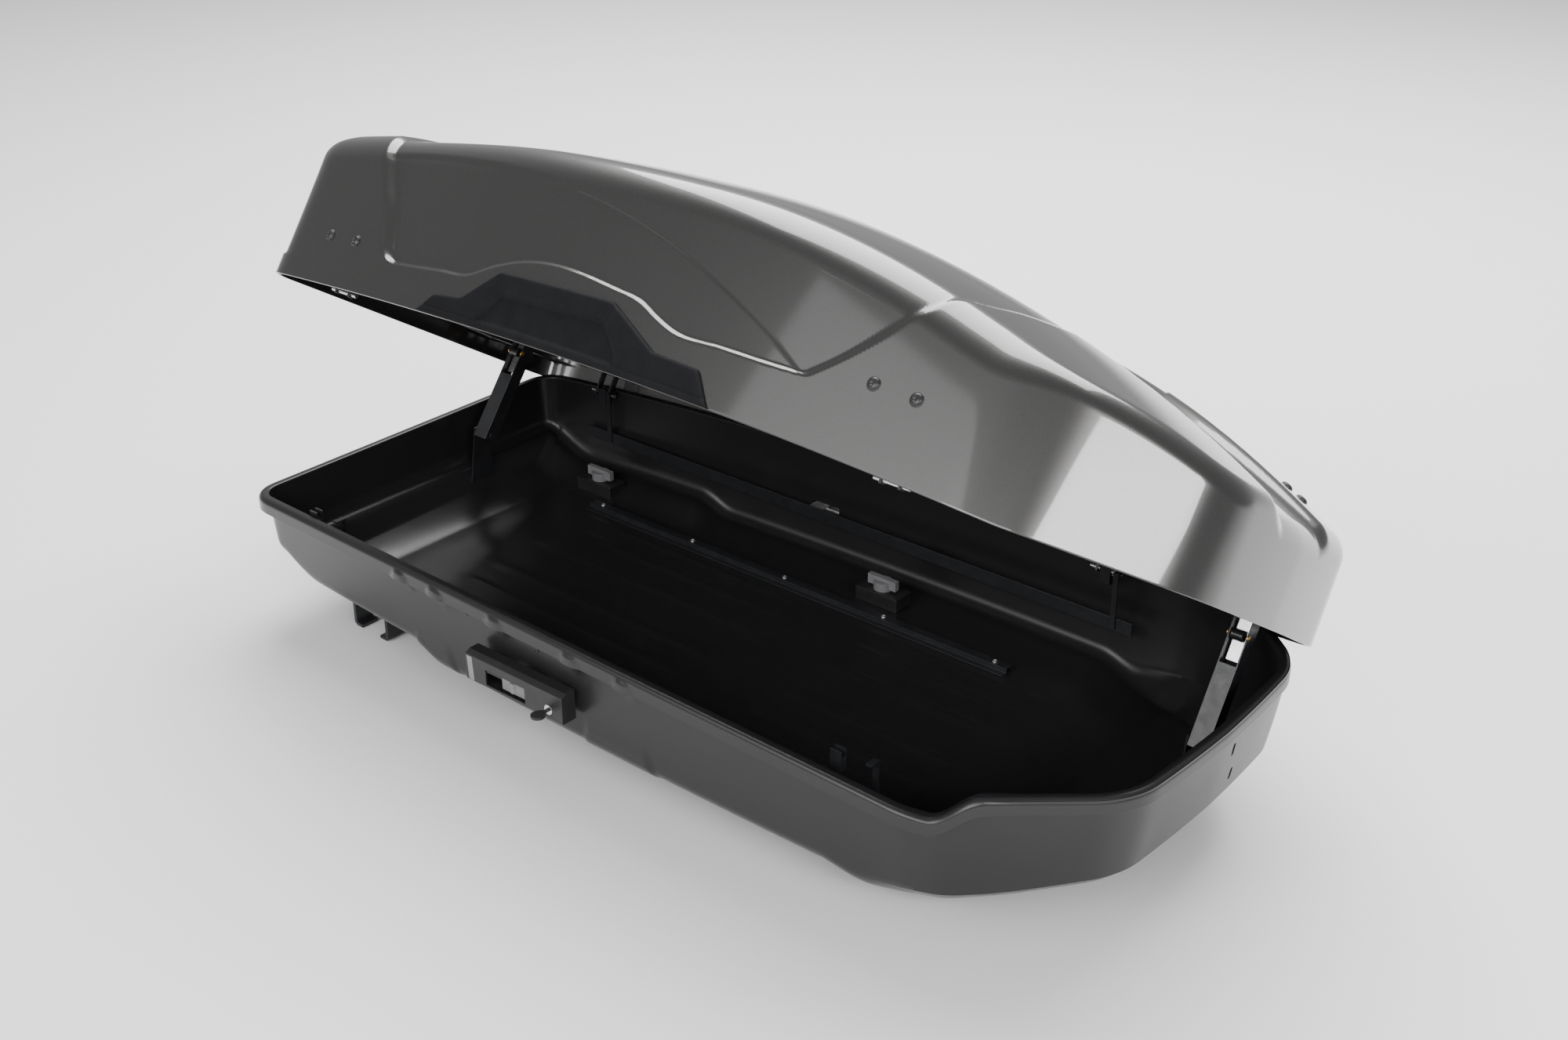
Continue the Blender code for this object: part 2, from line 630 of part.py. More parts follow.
def lid_turned(y, z, angle=LID_OPEN):
    """Where a point of the closed lid goes when the lid opens."""
    turn = math.radians(angle)
    dy, dz = y - HINGE_Y, z - HINGE_Z
    return (HINGE_Y + dy * math.cos(turn) + dz * math.sin(turn),
            HINGE_Z - dy * math.sin(turn) + dz * math.cos(turn))


def lifter_pose(spec):
    """Length and direction (degrees from +Y to +Z) of a lifter with the lid open."""
    head = lid_turned(*spec["head"])
    dy, dz = head[0] - spec["foot"][0], head[1] - spec["foot"][1]
    return math.hypot(dy, dz), math.degrees(math.atan2(dz, dy))


def lifter_channel(x):
    """A U-shaped steel channel round the foot pivot, local +Z along the arm."""
    half, depth, wall = CHANNEL_WIDTH / 2, CHANNEL_DEPTH / 2, CHANNEL_WALL
    outline = [(-half, -depth), (half, -depth), (half, depth), (half - wall, depth), (half - wall, -depth + wall),
               (-half + wall, -depth + wall), (-half + wall, depth), (-half, depth)]
    body = prism([(x + a, b) for a, b in outline], -CHANNEL_OVERRUN, CHANNEL_LENGTH, "xy")
    window = box((x - half + wall, -depth - 0.01, CHANNEL_FORK), (x + half - wall, 0.0, CHANNEL_LENGTH + 0.01))
    hole = rod((x - half - 0.01, 0, 0), (x + half + 0.01, 0, 0), PIN + GAP, 16)
    return cut(body, window, hole)


def lifter_slider(x, length):
    """The bar that runs in the channel, with an eye on the lid bracket's pin."""
    eye = rod((x - EYE_HALF, 0, length), (x + EYE_HALF, 0, length), EYE_RADIUS, 20)
    bar = box((x - BAR_HALF, -BAR_THICK / 2, BAR_START), (x + BAR_HALF, BAR_THICK / 2, length - EYE_RADIUS - 0.003))
    neck = box((x - EYE_HALF, -BAR_THICK / 2, BAR_START + 0.01), (x + EYE_HALF, BAR_THICK / 2, length))
    return cut(union(eye, bar, neck), rod((x - 0.02, 0, length), (x + 0.02, 0, length), EYE_BORE, 20))


def lifter_spring(x, y, z):
    """A torsion coil round the foot pin, inside the channel."""
    turns, pitch, coil, wire = 4, 0.0034, 0.0062, 0.0012
    curve = bpy.data.curves.new("coil", "CURVE")
    curve.dimensions = "3D"
    curve.bevel_depth = wire
    curve.bevel_resolution = 1
    curve.use_fill_caps = True
    line = curve.splines.new("POLY")
    steps = 14 * turns
    line.points.add(steps)
    for i, point in enumerate(line.points):
        turn = 2.0 * math.pi * turns * i / steps
        along = (i / steps - 0.5) * pitch * turns
        point.co = (x + along, y + coil * math.cos(turn), z + coil * math.sin(turn), 1.0)
    coil_object = bpy.data.objects.new("coil", curve)
    bpy.context.scene.collection.objects.link(coil_object)
    bpy.context.view_layer.update()
    mesh = bpy.data.meshes.new_from_object(coil_object.evaluated_get(bpy.context.evaluated_depsgraph_get()))
    bpy.data.objects.remove(coil_object, do_unlink=True)
    return mesh


def base_bracket(x, side, foot):
    """Stands on the floor beside the channel and carries the foot pin right through it."""
    y, z = foot
    plate_low = x + side * (CHANNEL_WIDTH / 2 + 0.001)
    plate_high = plate_low + side * 0.003
    left, right = min(plate_low, plate_high), max(plate_low, plate_high)
    bottom = max(floor_z(left), floor_z(right)) + SHEET + FOOT_CLEAR
    outline = [(y - 0.030, bottom), (y + 0.030, bottom), (y + 0.012, z + 0.010), (y - 0.012, z + 0.010)]
    plate = prism(outline, left, right)
    pin = rod((x - side * (CHANNEL_WIDTH / 2 + 0.003), y, z), (x + side * (CHANNEL_WIDTH / 2 + 0.002), y, z), PIN)
    head = rod((x - side * (CHANNEL_WIDTH / 2 + 0.001), y, z), (x - side * (CHANNEL_WIDTH / 2 + 0.004), y, z), 0.0075)
    return union(plate, pin, head)


def lid_bracket(x, side, head, wall_x=None):
    """Hangs from the lid beside the slider and carries the head pin through its eye."""
    y, z = head
    beside, beyond = EYE_HALF + EAR_PLAY, EYE_HALF + EAR_PLAY + EAR_PLATE
    left, right = sorted((x + side * beside, x + side * beyond))
    pin = rod((x - side * beside, y, z), (x + side * (beyond - 0.001), y, z), PIN)
    stop = rod((x - side * (beside - 0.0005), y, z), (x - side * (beyond - 0.0005), y, z), 0.0115)
    if wall_x is None:
        top = float(roof_z(right, y)) - SHEET - 0.006
        ear = prism([(y - 0.010, z - 0.010), (y + 0.010, z - 0.010), (y + 0.018, top), (y - 0.018, top)], left, right)
        slope = (roof_z(x + 0.02, y) - roof_z(x - 0.02, y)) / 0.04
        pad = box((-0.026, -0.020, -0.0015), (0.026, 0.020, 0.0015))
        turn = Matrix.Rotation(-math.atan(slope), 4, "Y")
        level = float(roof_z(x, y)) - SHEET - 0.0055
        return union(ear, moved(pad, Matrix.Translation((x, y, level)) @ turn), pin, stop)
    ear = prism([(y - 0.012, z - 0.010), (y + 0.012, z - 0.010), (y + 0.012, z + 0.012), (y - 0.012, z + 0.012)],
                left, right)
    low, high = sorted((wall_x, (left + right) / 2))
    arm = box((low, y - 0.010, z + 0.007), (high, y + 0.010, z + 0.011))
    low, high = sorted((wall_x, wall_x - side * 0.003))
    pad = box((low, y - 0.024, z - 0.034), (high, y + 0.024, z + 0.012))
    return union(ear, arm, pad, pin, stop)


# ---------------------------------------------------------------- roof-bar clamps and floor rails


def clamp_body(x, y):
    """Block on the floor, stem through the floor's slot, plate and fixed claw under the floor."""
    block = box((x - 0.045, y - 0.022, SEAT + SHEET + GAP), (x + 0.045, y + 0.022, 0.034))
    stem = box((x - 0.030, y - 0.007, 0.002), (x + 0.030, y + 0.007, 0.014))
    plate = box((x - 0.034, y - 0.020, 0.0006), (x + 0.050, y + 0.020, SEAT - GAP))
    claw = [(x + 0.042, 0.003), (x + 0.050, 0.003), (x + 0.050, -CLAW_DROP + 0.006), (x + 0.044, -CLAW_DROP),
            (x + 0.026, -CLAW_DROP), (x + 0.026, -CLAW_DROP + 0.006), (x + 0.042, -CLAW_DROP + 0.008)]
    return union(block, stem, plate, prism(claw, y - 0.020, y + 0.020, "xz"))


def clamp_claw(x, y):
    """The claw that swings on the plate's rear edge."""
    pivot_x, pivot_z = x - 0.041, -0.006
    outline = [(pivot_x - 0.0055, pivot_z + 0.004), (pivot_x + 0.0055, pivot_z + 0.004), (pivot_x + 0.004, -0.012),
               (pivot_x + 0.004, -CLAW_DROP + 0.009), (x - 0.024, -CLAW_DROP + 0.007), (x - 0.024, -CLAW_DROP + 0.001),
               (pivot_x + 0.002, -CLAW_DROP + 0.001), (pivot_x - 0.004, -CLAW_DROP + 0.007), (pivot_x - 0.004, -0.012)]
    return prism(outline, y - 0.018, y + 0.018, "xz")


def clamp_knob(x, y):
    """A wing knob on top of the block."""
    low = 0.034 + GAP
    drum = rod((x, y, low), (x, y, low + 0.016), 0.017, 20)
    wing = box((x - 0.030, y - 0.005, low + 0.004), (x + 0.030, y + 0.005, low + 0.022))
    return union(drum, wing)


def floor_rail(y):
    """A folded steel rail along the floor, which stiffens it between the clamps."""
    low = SEAT + SHEET + GAP
    outline = [(y - 0.020, low), (y - 0.0065, low), (y - 0.0065, low + 0.008), (y + 0.0065, low + 0.008),
               (y + 0.0065, low), (y + 0.020, low), (y + 0.020, low + 0.002), (y + 0.009, low + 0.002),
               (y + 0.009, low + 0.010), (y - 0.009, low + 0.010), (y - 0.009, low + 0.002), (y - 0.020, low + 0.002)]
    return prism(outline, *RAIL_X)


# ---------------------------------------------------------------- assembly


def build_shells(lid):
    node("base_shell", base_shell(), SHELL_BLACK)
    node("lid_shell", lid_shell(), LID_GREY, lid)
    node("near_side_trim", side_trim(), TRIM_BLACK, lid)
    node("far_side_trim", mirrored(side_trim()), TRIM_BLACK, lid)
    node("near_floor_rail", floor_rail(-RAIL_Y), STEEL_BLACK)
    node("far_floor_rail", floor_rail(RAIL_Y), STEEL_BLACK)


def build_locks(lid):
    """Near side released, far side locked onto its pins, which are the hinge."""
    for side, place, shift in (("near", lambda mesh: mesh, LATCH_TRAVEL), ("far", mirrored, 0.0)):
        node(f"{side}_latch_bar", place(latch_bar(shift)), STEEL_BLACK)
        for end, x in zip(("rear", "front"), PIVOT_X):
            node(f"{side}_{end}_latch_hook", place(latch_hook(x, shift)), STEEL_BLACK)
        node(f"{side}_lock_housing", place(lock_housing()), TRIM_BLACK)
        node(f"{side}_lock_slider", place(lock_slider(shift)), HANDLE_GREY)
        flip = -1.0 if side == "near" else 1.0
        barrel = pivot(f"{side}_key_axis", (KEY_X, LOCK_Y[1] * flip, KEY_Z))
        node(f"{side}_lock_cylinder", place(lock_cylinder()), STEEL_BRIGHT, barrel)
        if side == "near":
            node("key", key(), TRIM_BLACK, barrel)
        for end, x in zip(("rear", "front"), PIVOT_X):
            node(f"{side}_{end}_lid_pivot", place(lid_pivot(x)), STEEL_BLACK, lid)
            node(f"{side}_{end}_hinge_pin", place(hinge_pin(x)), STEEL_BRIGHT, lid)
            node(f"{side}_{end}_pivot_cup", place(pivot_cup(x)), STEEL_BLACK)


def build_lifters(lid):
    for name, spec in LIFTERS.items():
        x, side = spec["x"], spec["side"]
        length, heading = lifter_pose(spec)
        foot = pivot(f"{name}_lifter_axis", (0.0, *spec["foot"]))
        for part, mesh, finish in (("arm", lifter_channel(x), STEEL_BLACK),
                                   ("slider", lifter_slider(x, length), STEEL_BRIGHT)):
            turn = Matrix.Rotation(math.radians(heading - 90.0), 4, "X")
            mesh.transform(Matrix.Translation(foot.location) @ turn)
            node(f"{name}_lifter_{part}", mesh, finish, foot)
        node(f"{name}_lifter_spring", lifter_spring(x, *spec["foot"]), STEEL_BRIGHT)
        node(f"{name}_lifter_base_bracket", base_bracket(x, side, spec["foot"]), STEEL_BLACK)
        wall_x = None if name == "front" else REAR_X + SHEET + 0.0155
        node(f"{name}_lifter_lid_bracket", lid_bracket(x, side, spec["head"], wall_x), STEEL_BLACK, lid)


def build_clamps():
    for end, x in zip(("rear", "front"), CLAMP_X):
        for side, y in (("near", -CLAMP_Y), ("far", CLAMP_Y)):
            name = f"{side}_{end}_clamp"
            node(f"{name}_body", clamp_body(x, y), TRIM_BLACK)
            knob_axis = pivot(f"{name}_knob_axis", (x, y, 0.034))
            node(f"{name}_knob", clamp_knob(x, y), HANDLE_GREY, knob_axis)
            claw_axis = pivot(f"{name}_claw_axis", (x - 0.041, y, -0.006))
            node(f"{name}_claw", clamp_claw(x, y), STEEL_BLACK, claw_axis)


lid_axis = pivot("lid_axis", (0.0, HINGE_Y, HINGE_Z))
build_shells(lid_axis)
build_locks(lid_axis)
build_lifters(lid_axis)
build_clamps()
lid_axis.rotation_euler = (math.radians(-LID_OPEN), 0.0, 0.0)
bpy.context.view_layer.update()
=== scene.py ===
"""Looks of the roof cargo box: fine shells, trims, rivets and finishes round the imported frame.

Frame: +X runs to the nose, -Y is the near side (open), +Y the far side, +Z is up, in metres.
Pieces on the lid are made with the lid closed and then turned open about its hinge, as it is at rest.
"""

import json
import math

import bmesh
import bpy
import numpy as np
from mathutils import Matrix, Vector

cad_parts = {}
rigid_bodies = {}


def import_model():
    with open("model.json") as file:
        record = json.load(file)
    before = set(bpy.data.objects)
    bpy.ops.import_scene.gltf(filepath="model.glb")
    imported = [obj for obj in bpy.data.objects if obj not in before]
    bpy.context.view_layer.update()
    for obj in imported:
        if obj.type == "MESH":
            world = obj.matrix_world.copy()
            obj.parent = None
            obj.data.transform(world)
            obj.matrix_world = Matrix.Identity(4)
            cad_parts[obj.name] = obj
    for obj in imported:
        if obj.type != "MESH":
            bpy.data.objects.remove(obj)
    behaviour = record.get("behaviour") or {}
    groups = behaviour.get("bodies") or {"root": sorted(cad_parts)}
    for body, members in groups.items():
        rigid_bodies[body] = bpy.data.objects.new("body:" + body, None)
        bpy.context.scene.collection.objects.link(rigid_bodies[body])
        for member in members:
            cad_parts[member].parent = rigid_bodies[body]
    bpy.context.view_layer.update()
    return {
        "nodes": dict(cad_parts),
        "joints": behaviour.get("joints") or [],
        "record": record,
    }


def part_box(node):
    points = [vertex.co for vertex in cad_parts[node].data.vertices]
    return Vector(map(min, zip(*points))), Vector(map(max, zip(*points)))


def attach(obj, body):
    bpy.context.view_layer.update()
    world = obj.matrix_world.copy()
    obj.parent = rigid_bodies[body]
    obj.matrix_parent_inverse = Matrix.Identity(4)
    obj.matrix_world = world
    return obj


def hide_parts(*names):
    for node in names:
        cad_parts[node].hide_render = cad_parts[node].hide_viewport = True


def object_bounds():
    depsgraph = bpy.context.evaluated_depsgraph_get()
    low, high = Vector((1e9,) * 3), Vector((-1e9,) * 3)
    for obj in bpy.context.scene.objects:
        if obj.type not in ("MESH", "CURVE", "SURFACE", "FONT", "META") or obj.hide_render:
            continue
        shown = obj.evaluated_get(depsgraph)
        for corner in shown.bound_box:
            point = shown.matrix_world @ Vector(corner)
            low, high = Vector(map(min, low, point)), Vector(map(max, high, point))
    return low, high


for old in list(bpy.data.objects):
    bpy.data.objects.remove(old, do_unlink=True)

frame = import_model()

# ---------------------------------------------------------------- camera

AZIMUTH, ELEVATION, ROLL, DISTANCE = 40.145, 26.827, -0.149, 3.156  # degrees, metres
TARGET = Vector((0.0443, 0.0256, 0.2625))
LENS, SENSOR = 45.19, 36.0


def add_camera():
    az, el, roll = (math.radians(a) for a in (AZIMUTH, ELEVATION, ROLL))
    back = Vector((math.sin(az) * math.cos(el), -math.cos(az) * math.cos(el), math.sin(el)))
    right = (-back).cross(Vector((0, 0, 1))).normalized()
    up = right.cross(-back)
    right, up = math.cos(roll) * right + math.sin(roll) * up, -math.sin(roll) * right + math.cos(roll) * up
    data = bpy.data.cameras.new("camera")
    data.lens, data.sensor_width = LENS, SENSOR
    data.clip_start, data.clip_end = 0.05, 60.0
    camera = bpy.data.objects.new("camera", data)
    turn = Matrix((right, up, back)).transposed().to_4x4()
    camera.matrix_world = Matrix.Translation(TARGET + back * DISTANCE) @ turn
    bpy.context.scene.collection.objects.link(camera)
    bpy.context.scene.camera = camera


# ---------------------------------------------------------------- driving dimensions (m, degrees)

LENGTH = 1.75
SPLIT_Z, SPLIT_ARCH = 0.175, 0.022  # the joint between the shells, and its rise at mid side
CREST = 0.380  # lid height above the joint
SHEET = 0.0035
GAP = 0.0003

hinge = next(j for j in frame["joints"] if j["name"] == "lid_hinge")
HINGE_Y, HINGE_Z = hinge["pos_m"][1], hinge["pos_m"][2]
LID_OPEN = -hinge["range_deg"][0]
OPENED = (Matrix.Translation((0, HINGE_Y, HINGE_Z)) @ Matrix.Rotation(math.radians(-LID_OPEN), 4, "X")
          @ Matrix.Translation((0, -HINGE_Y, -HINGE_Z)))

# plan of the lid's rim, half of it
REAR_X = -0.868
NOSE_X = REAR_X + LENGTH
REAR_Y, REAR_RADIUS = 0.380, 0.070
CHEEK_X, CHEEK_Y, CHEEK_RADIUS = 0.655, 0.418, 0.20
BROW_X, BROW_Y, BROW_RADIUS = 0.868, 0.235, 0.13
SIDE_BULGE, END_BULGE, SPINE_INSET = 0.025, 0.010, 0.16

# lid
LAP = 0.004
REAR_DROP, NOSE_DROP, CROWN, VALLEY = 0.094, 0.228, 0.060, 0.026
SHOULDER, REAR_SHOULDER, NOSE_SHOULDER = 0.050, 0.024, 0.026
WALL_DRAFT, REAR_DRAFT, NOSE_DRAFT = 4.0, -1.0, 0.0
FLARE, FLARE_HEIGHT = 0.010, 0.034  # the tail's skirt stands proud of the wall above it

# base
BASE_INSET, REAR_INSET = 0.018, 0.006
LIP_WIDTH, LIP_HEIGHT, LIP_ROUND, LIP_INNER_ROUND = 0.016, 0.026, 0.0095, 0.003
NOSE_LIP_WIDTH = 0.0030
NOSE_ROLL, NOSE_LIP_ROUND, NOSE_INNER_ROUND = 0.014, 0.0120, 0.0080  # the nose's rim is rolled thicker
NOSE_RIM_RISE, BASE_DRAFT, NOSE_CURVE, NOSE_FLAT = 0.042, 5.0, 0.38, 0.8
SEAT, SEATS, SEAT_Y = 0.005, ((-0.665, -0.605), (-0.022, 0.015), (0.025, 0.085)), 0.20
FLOOR_ROUND, NOSE_ROUND = 0.030, 0.055
TAIL_RISE, TAIL_X, TAIL_RUN = 0.085, -0.715, 0.16
BELLY, NOSE_RISE, NOSE_RISE_X, CHAMFER = -0.018, 0.045, 0.60, 0.022

# trims, as x and height above the lid's edge
TRIM_THICK, TRIM_THIN = 0.006, 0.30  # thickness, and the share of it left at the rim
TRIM_OUTLINE = [(-0.440, 0.0), (-0.413, 0.032), (-0.352, 0.038), (-0.290, 0.094), (-0.052, 0.100),
                (0.055, 0.049), (0.143, 0.047), (0.182, 0.0)]
GRIP_OUTLINE = [(-0.303, 0.018), (-0.272, 0.060), (-0.055, 0.068), (-0.010, 0.024)]
TRIM_CORNER, GRIP_CORNER = 0.014, 0.010
TRIM_ROUND, GRIP_DEEP, GRIP_BEAD, LEDGE_DEEP = 0.006, 0.0042, 0.0008, 0.0010

# hardware
PIVOTS = ((-0.684, 0.077), (0.455, 0.106))  # the lid pivots' x, and their rivets' height above the joint
PIVOT_RIVETS = 0.035  # from the pivot's middle
RIVET_RADIUS, SCREW_RADIUS, RAIL_SCREW_RADIUS, AXLE_HEAD_RADIUS = 0.0092, 0.0042, 0.0050, 0.0052
ROLLER_RADIUS, ROLLER_HALF, ROLLER_OUT, ROLLER_ALONG = 0.0088, 0.0095, 0.0121, 0.165
CHANNEL_HALF = 0.016
FRONT_BRACKET, FRONT_BRACKET_RIVETS = (0.765, 0.20), 0.014  # x and y on the roof, half the rivets' spacing
REAR_BRACKET, REAR_BRACKET_RIVETS = (REAR_X + 0.0075, 0.20, 0.335), 0.012
LATCH_TRAVEL = 0.030


# ---------------------------------------------------------------- shape helpers


def ramp(value, low, high):
    """0 below low, 1 above high, smooth between."""
    t = np.clip((value - low) / (high - low), 0.0, 1.0)
    return t * t * (3.0 - 2.0 * t)


def curve(value, knots):
    """A smooth curve through (position, height) knots."""
    xs, ys = (np.array(k, float) for k in zip(*knots))
    slopes = np.gradient(ys, xs)
    value = np.clip(value, xs[0], xs[-1])
    i = np.clip(np.searchsorted(xs, value) - 1, 0, len(xs) - 2)
    width = xs[i + 1] - xs[i]
    t = (value - xs[i]) / width
    return ((1 + 2 * t) * (1 - t) ** 2 * ys[i] + t * (1 - t) ** 2 * width * slopes[i]
            + t * t * (3 - 2 * t) * ys[i + 1] + t * t * (t - 1) * width * slopes[i + 1])


def corner_arc(before, corner, after, radius, steps=24):
    """The points of an arc that rounds a corner of a polygon."""
    to_before = (before - corner) / np.linalg.norm(before - corner)
    to_after = (after - corner) / np.linalg.norm(after - corner)
    half = math.acos(np.clip(to_before @ to_after, -1.0, 1.0)) / 2
    reach = radius / math.tan(half)
    bisector = (to_before + to_after) / np.linalg.norm(to_before + to_after)
    centre = corner + bisector * radius / math.sin(half)
    first, last = corner + to_before * reach - centre, corner + to_after * reach - centre
    sweep = math.atan2(first[0] * last[1] - first[1] * last[0], first @ last)
    angles = np.linspace(0.0, sweep, steps)
    return [centre + np.array([first[0] * math.cos(a) - first[1] * math.sin(a),
                               first[0] * math.sin(a) + first[1] * math.cos(a)]) for a in angles]


def side_share(x):
    return np.clip((x - REAR_X) / (CHEEK_X - REAR_X), 0.0, 1.0)


def side_y(x):
    share = side_share(x)
    return REAR_Y + (CHEEK_Y - REAR_Y) * share + SIDE_BULGE * 4.0 * share * (1.0 - share)


def split_z(x):
    share = side_share(x)
    return SPLIT_Z + SPLIT_ARCH * 4.0 * share * (1.0 - share)


FINE_STEP, FINE_POINTS, FINE_ARC = 0.002, 1600, 60
KERNEL = 31  # fine points over which the rim's heading is evened out, an odd number
BEND_WEIGHT = 0.08  # stations stand closer where the rim bends


def rim_half(stations):
    """Points and inward normals of the lid's rim from the tail's middle to the nose, near side."""
    corners = [np.array(p) for p in ((REAR_X, 0.0), (REAR_X, -REAR_Y), (CHEEK_X, -CHEEK_Y),
                                     (BROW_X, -BROW_Y), (NOSE_X - END_BULGE, 0.0))]
    dense = [corners[0]]
    for i, radius in ((1, REAR_RADIUS), (2, CHEEK_RADIUS), (3, BROW_RADIUS)):
        dense += corner_arc(corners[i - 1], corners[i], corners[i + 1], radius, FINE_ARC)
    dense.append(corners[4])
    fine = []
    for a, b in zip(dense[:-1], dense[1:]):
        steps = max(1, int(np.linalg.norm(b - a) / FINE_STEP))
        fine += [a + (b - a) * k / steps for k in range(steps)]
    fine = np.array(fine + [dense[-1]])
    share = side_share(fine[:, 0])
    fine[:, 1] -= SIDE_BULGE * 4.0 * share * (1.0 - share) * ramp(-fine[:, 1], 0.0, 0.3)
    nose_share = np.clip(1.0 - (fine[:, 1] / BROW_Y) ** 2, 0.0, 1.0)
    fine[:, 0] += np.where(fine[:, 0] > 0.5, END_BULGE * nose_share, 0.0)
    walked = np.concatenate([[0.0], np.cumsum(np.linalg.norm(np.diff(fine, axis=0), axis=1))])
    even = np.linspace(0.0, walked[-1], FINE_POINTS)
    fine = np.stack([np.interp(even, walked, fine[:, k]) for k in (0, 1)], axis=1)
    kernel = np.hanning(KERNEL)
    kernel /= kernel.sum()
    pad = KERNEL // 2
    padded = np.concatenate([fine[pad:0:-1] * (1, -1), fine, fine[-2 : -2 - pad : -1] * (1, -1)])
    fine = np.stack([np.convolve(padded[:, k], kernel, mode="valid") for k in (0, 1)], axis=1)
    heading = np.gradient(fine, axis=0)
    heading /= np.linalg.norm(heading, axis=1)[:, None]
    bend = np.linalg.norm(np.gradient(heading, axis=0), axis=1) / (even[1] - even[0])
    walked = np.concatenate([[0.0], np.cumsum((1.0 + BEND_WEIGHT * bend)[:-1])])
    places = np.linspace(0.0, walked[-1], stations + 1)
    points = np.stack([np.interp(places, walked, fine[:, k]) for k in (0, 1)], axis=1)
    normals = np.stack([np.interp(places, walked, h) for h in (-heading[:, 1], heading[:, 0])], axis=1)
    normals /= np.linalg.norm(normals, axis=1)[:, None]
    points[0, 1] = points[-1, 1] = 0.0
    normals[0], normals[-1] = (1.0, 0.0), (-1.0, 0.0)
    return points, normals


def spine(points):
    """Where the section of each rim point meets the centre line."""
    low, high = REAR_X + SPINE_INSET, NOSE_X - SPINE_INSET
    along = (points[:, 0] - REAR_X) / (NOSE_X - REAR_X)
    even = np.linspace(0.0, 1.0, len(points))
    x = low + (high - low) * (0.9 * along + 0.1 * even)
    return np.stack([x, np.zeros_like(x)], axis=1)


def grid_normals(grid):
    """Unit normals of a grid of points, flat across the centre line."""
    along, across = np.gradient(grid, axis=0), np.gradient(grid, axis=1)
    normals = np.cross(along, across)
    normals[np.abs(grid[:, :, 1]) < 1e-9, 1] = 0.0
    return normals / np.maximum(np.linalg.norm(normals, axis=2), 1e-12)[:, :, None]


def grid_faces(rows, columns):
    """Quads of a grid of numbered points."""
    index = np.arange(rows * columns).reshape(rows, columns)
    quads = np.stack([index[1:, :-1], index[1:, 1:], index[:-1, 1:], index[:-1, :-1]], axis=-1)
    return quads.reshape(-1, 4)


def welded_mesh(name, points, faces, tags=None):
    """A mesh from arrays, with equal points made one and collapsed faces left out."""
    keys = np.round(points * 1e6).astype(np.int64)
    _, first, inverse = np.unique(keys, axis=0, return_index=True, return_inverse=True)
    faces = inverse.reshape(-1)[faces]
    mesh = bpy.data.meshes.new(name)
    kept, kept_tags = [], []
    for face, tag in zip(faces.tolist(), tags.tolist() if tags is not None else [0] * len(faces)):
        corners = list(dict.fromkeys(face))
        if len(corners) > 2:
            kept.append(corners)
            kept_tags.append(tag)
    mesh.from_pydata(points[first].tolist(), [], kept)
    mesh.polygons.foreach_set("material_index", kept_tags)
    bm = bmesh.new()
    bm.from_mesh(mesh)
    bmesh.ops.recalc_face_normals(bm, faces=bm.faces)
    bm.to_mesh(mesh)
    bm.free()
    return mesh


def both_sides(points, faces, tags):
    """Adds the mirror image across the centre line."""
    both = np.concatenate([points, points * (1.0, -1.0, 1.0)]) + 0.0  # which makes every -0.0 a 0.0
    return both, np.concatenate([faces, faces[:, ::-1] + len(points)]), np.concatenate([tags, tags])


def smooth(mesh, angle=35.0):
    mesh.shade_smooth()
    mesh.set_sharp_from_angle(angle=math.radians(angle))
    return mesh


def piece(name, mesh, body, slot, *finishes, stands_for=()):
    """A shown piece: it rides on a body, takes the finishes it is given and may replace CAD nodes. The slot
    is not used.
    """
    obj = bpy.data.objects.new(name, mesh)
    bpy.context.scene.collection.objects.link(obj)
    mesh.materials.clear()
    for finish in finishes:
        mesh.materials.append(finish)
    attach(obj, body)
    if stands_for:
        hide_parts(*stands_for)
    return obj


def on_lid(mesh):
    """Turns a mesh made with the lid closed to where it is with the lid open."""
    mesh.transform(OPENED)
    return mesh


def mirrored(mesh):
    other = mesh.copy()
    other.transform(Matrix.Diagonal((1.0, -1.0, 1.0, 1.0)))
    other.flip_normals()
    return other


def cut_from(mesh, cutters):
    """The mesh with closed cutters taken out of it."""
    body, tool = bpy.data.objects.new("body", mesh), bpy.data.objects.new("tool", joined(cutters))
    for obj in (body, tool):
        bpy.context.scene.collection.objects.link(obj)
    modifier = body.modifiers.new("cut", "BOOLEAN")
    modifier.operation, modifier.solver, modifier.object = "DIFFERENCE", "EXACT", tool
    bpy.context.view_layer.update()
    result = bpy.data.meshes.new_from_object(body.evaluated_get(bpy.context.evaluated_depsgraph_get()))
    for used in (body, tool):
        bpy.data.objects.remove(used, do_unlink=True)
    return result


def joined(meshes):
    """Several meshes as one."""
    bm = bmesh.new()
    for mesh in meshes:
        bm.from_mesh(mesh)
    made = bpy.data.meshes.new("joined")
    bm.to_mesh(made)
    bm.free()
    return made


def box(low, high, bevel=0.0, segments=3):
    """A box between two corners, with rounded edges."""
    bm = bmesh.new()
    size, middle = Vector(high) - Vector(low), (Vector(high) + Vector(low)) / 2
    bmesh.ops.create_cube(bm, size=1.0, matrix=Matrix.Translation(middle) @ Matrix.Diagonal((*size, 1.0)))
    if bevel:
        bmesh.ops.bevel(bm, geom=bm.edges, offset=bevel, segments=segments, profile=0.5, affect="EDGES")
    mesh = bpy.data.meshes.new("box")
    bm.to_mesh(mesh)
    bm.free()
    return mesh


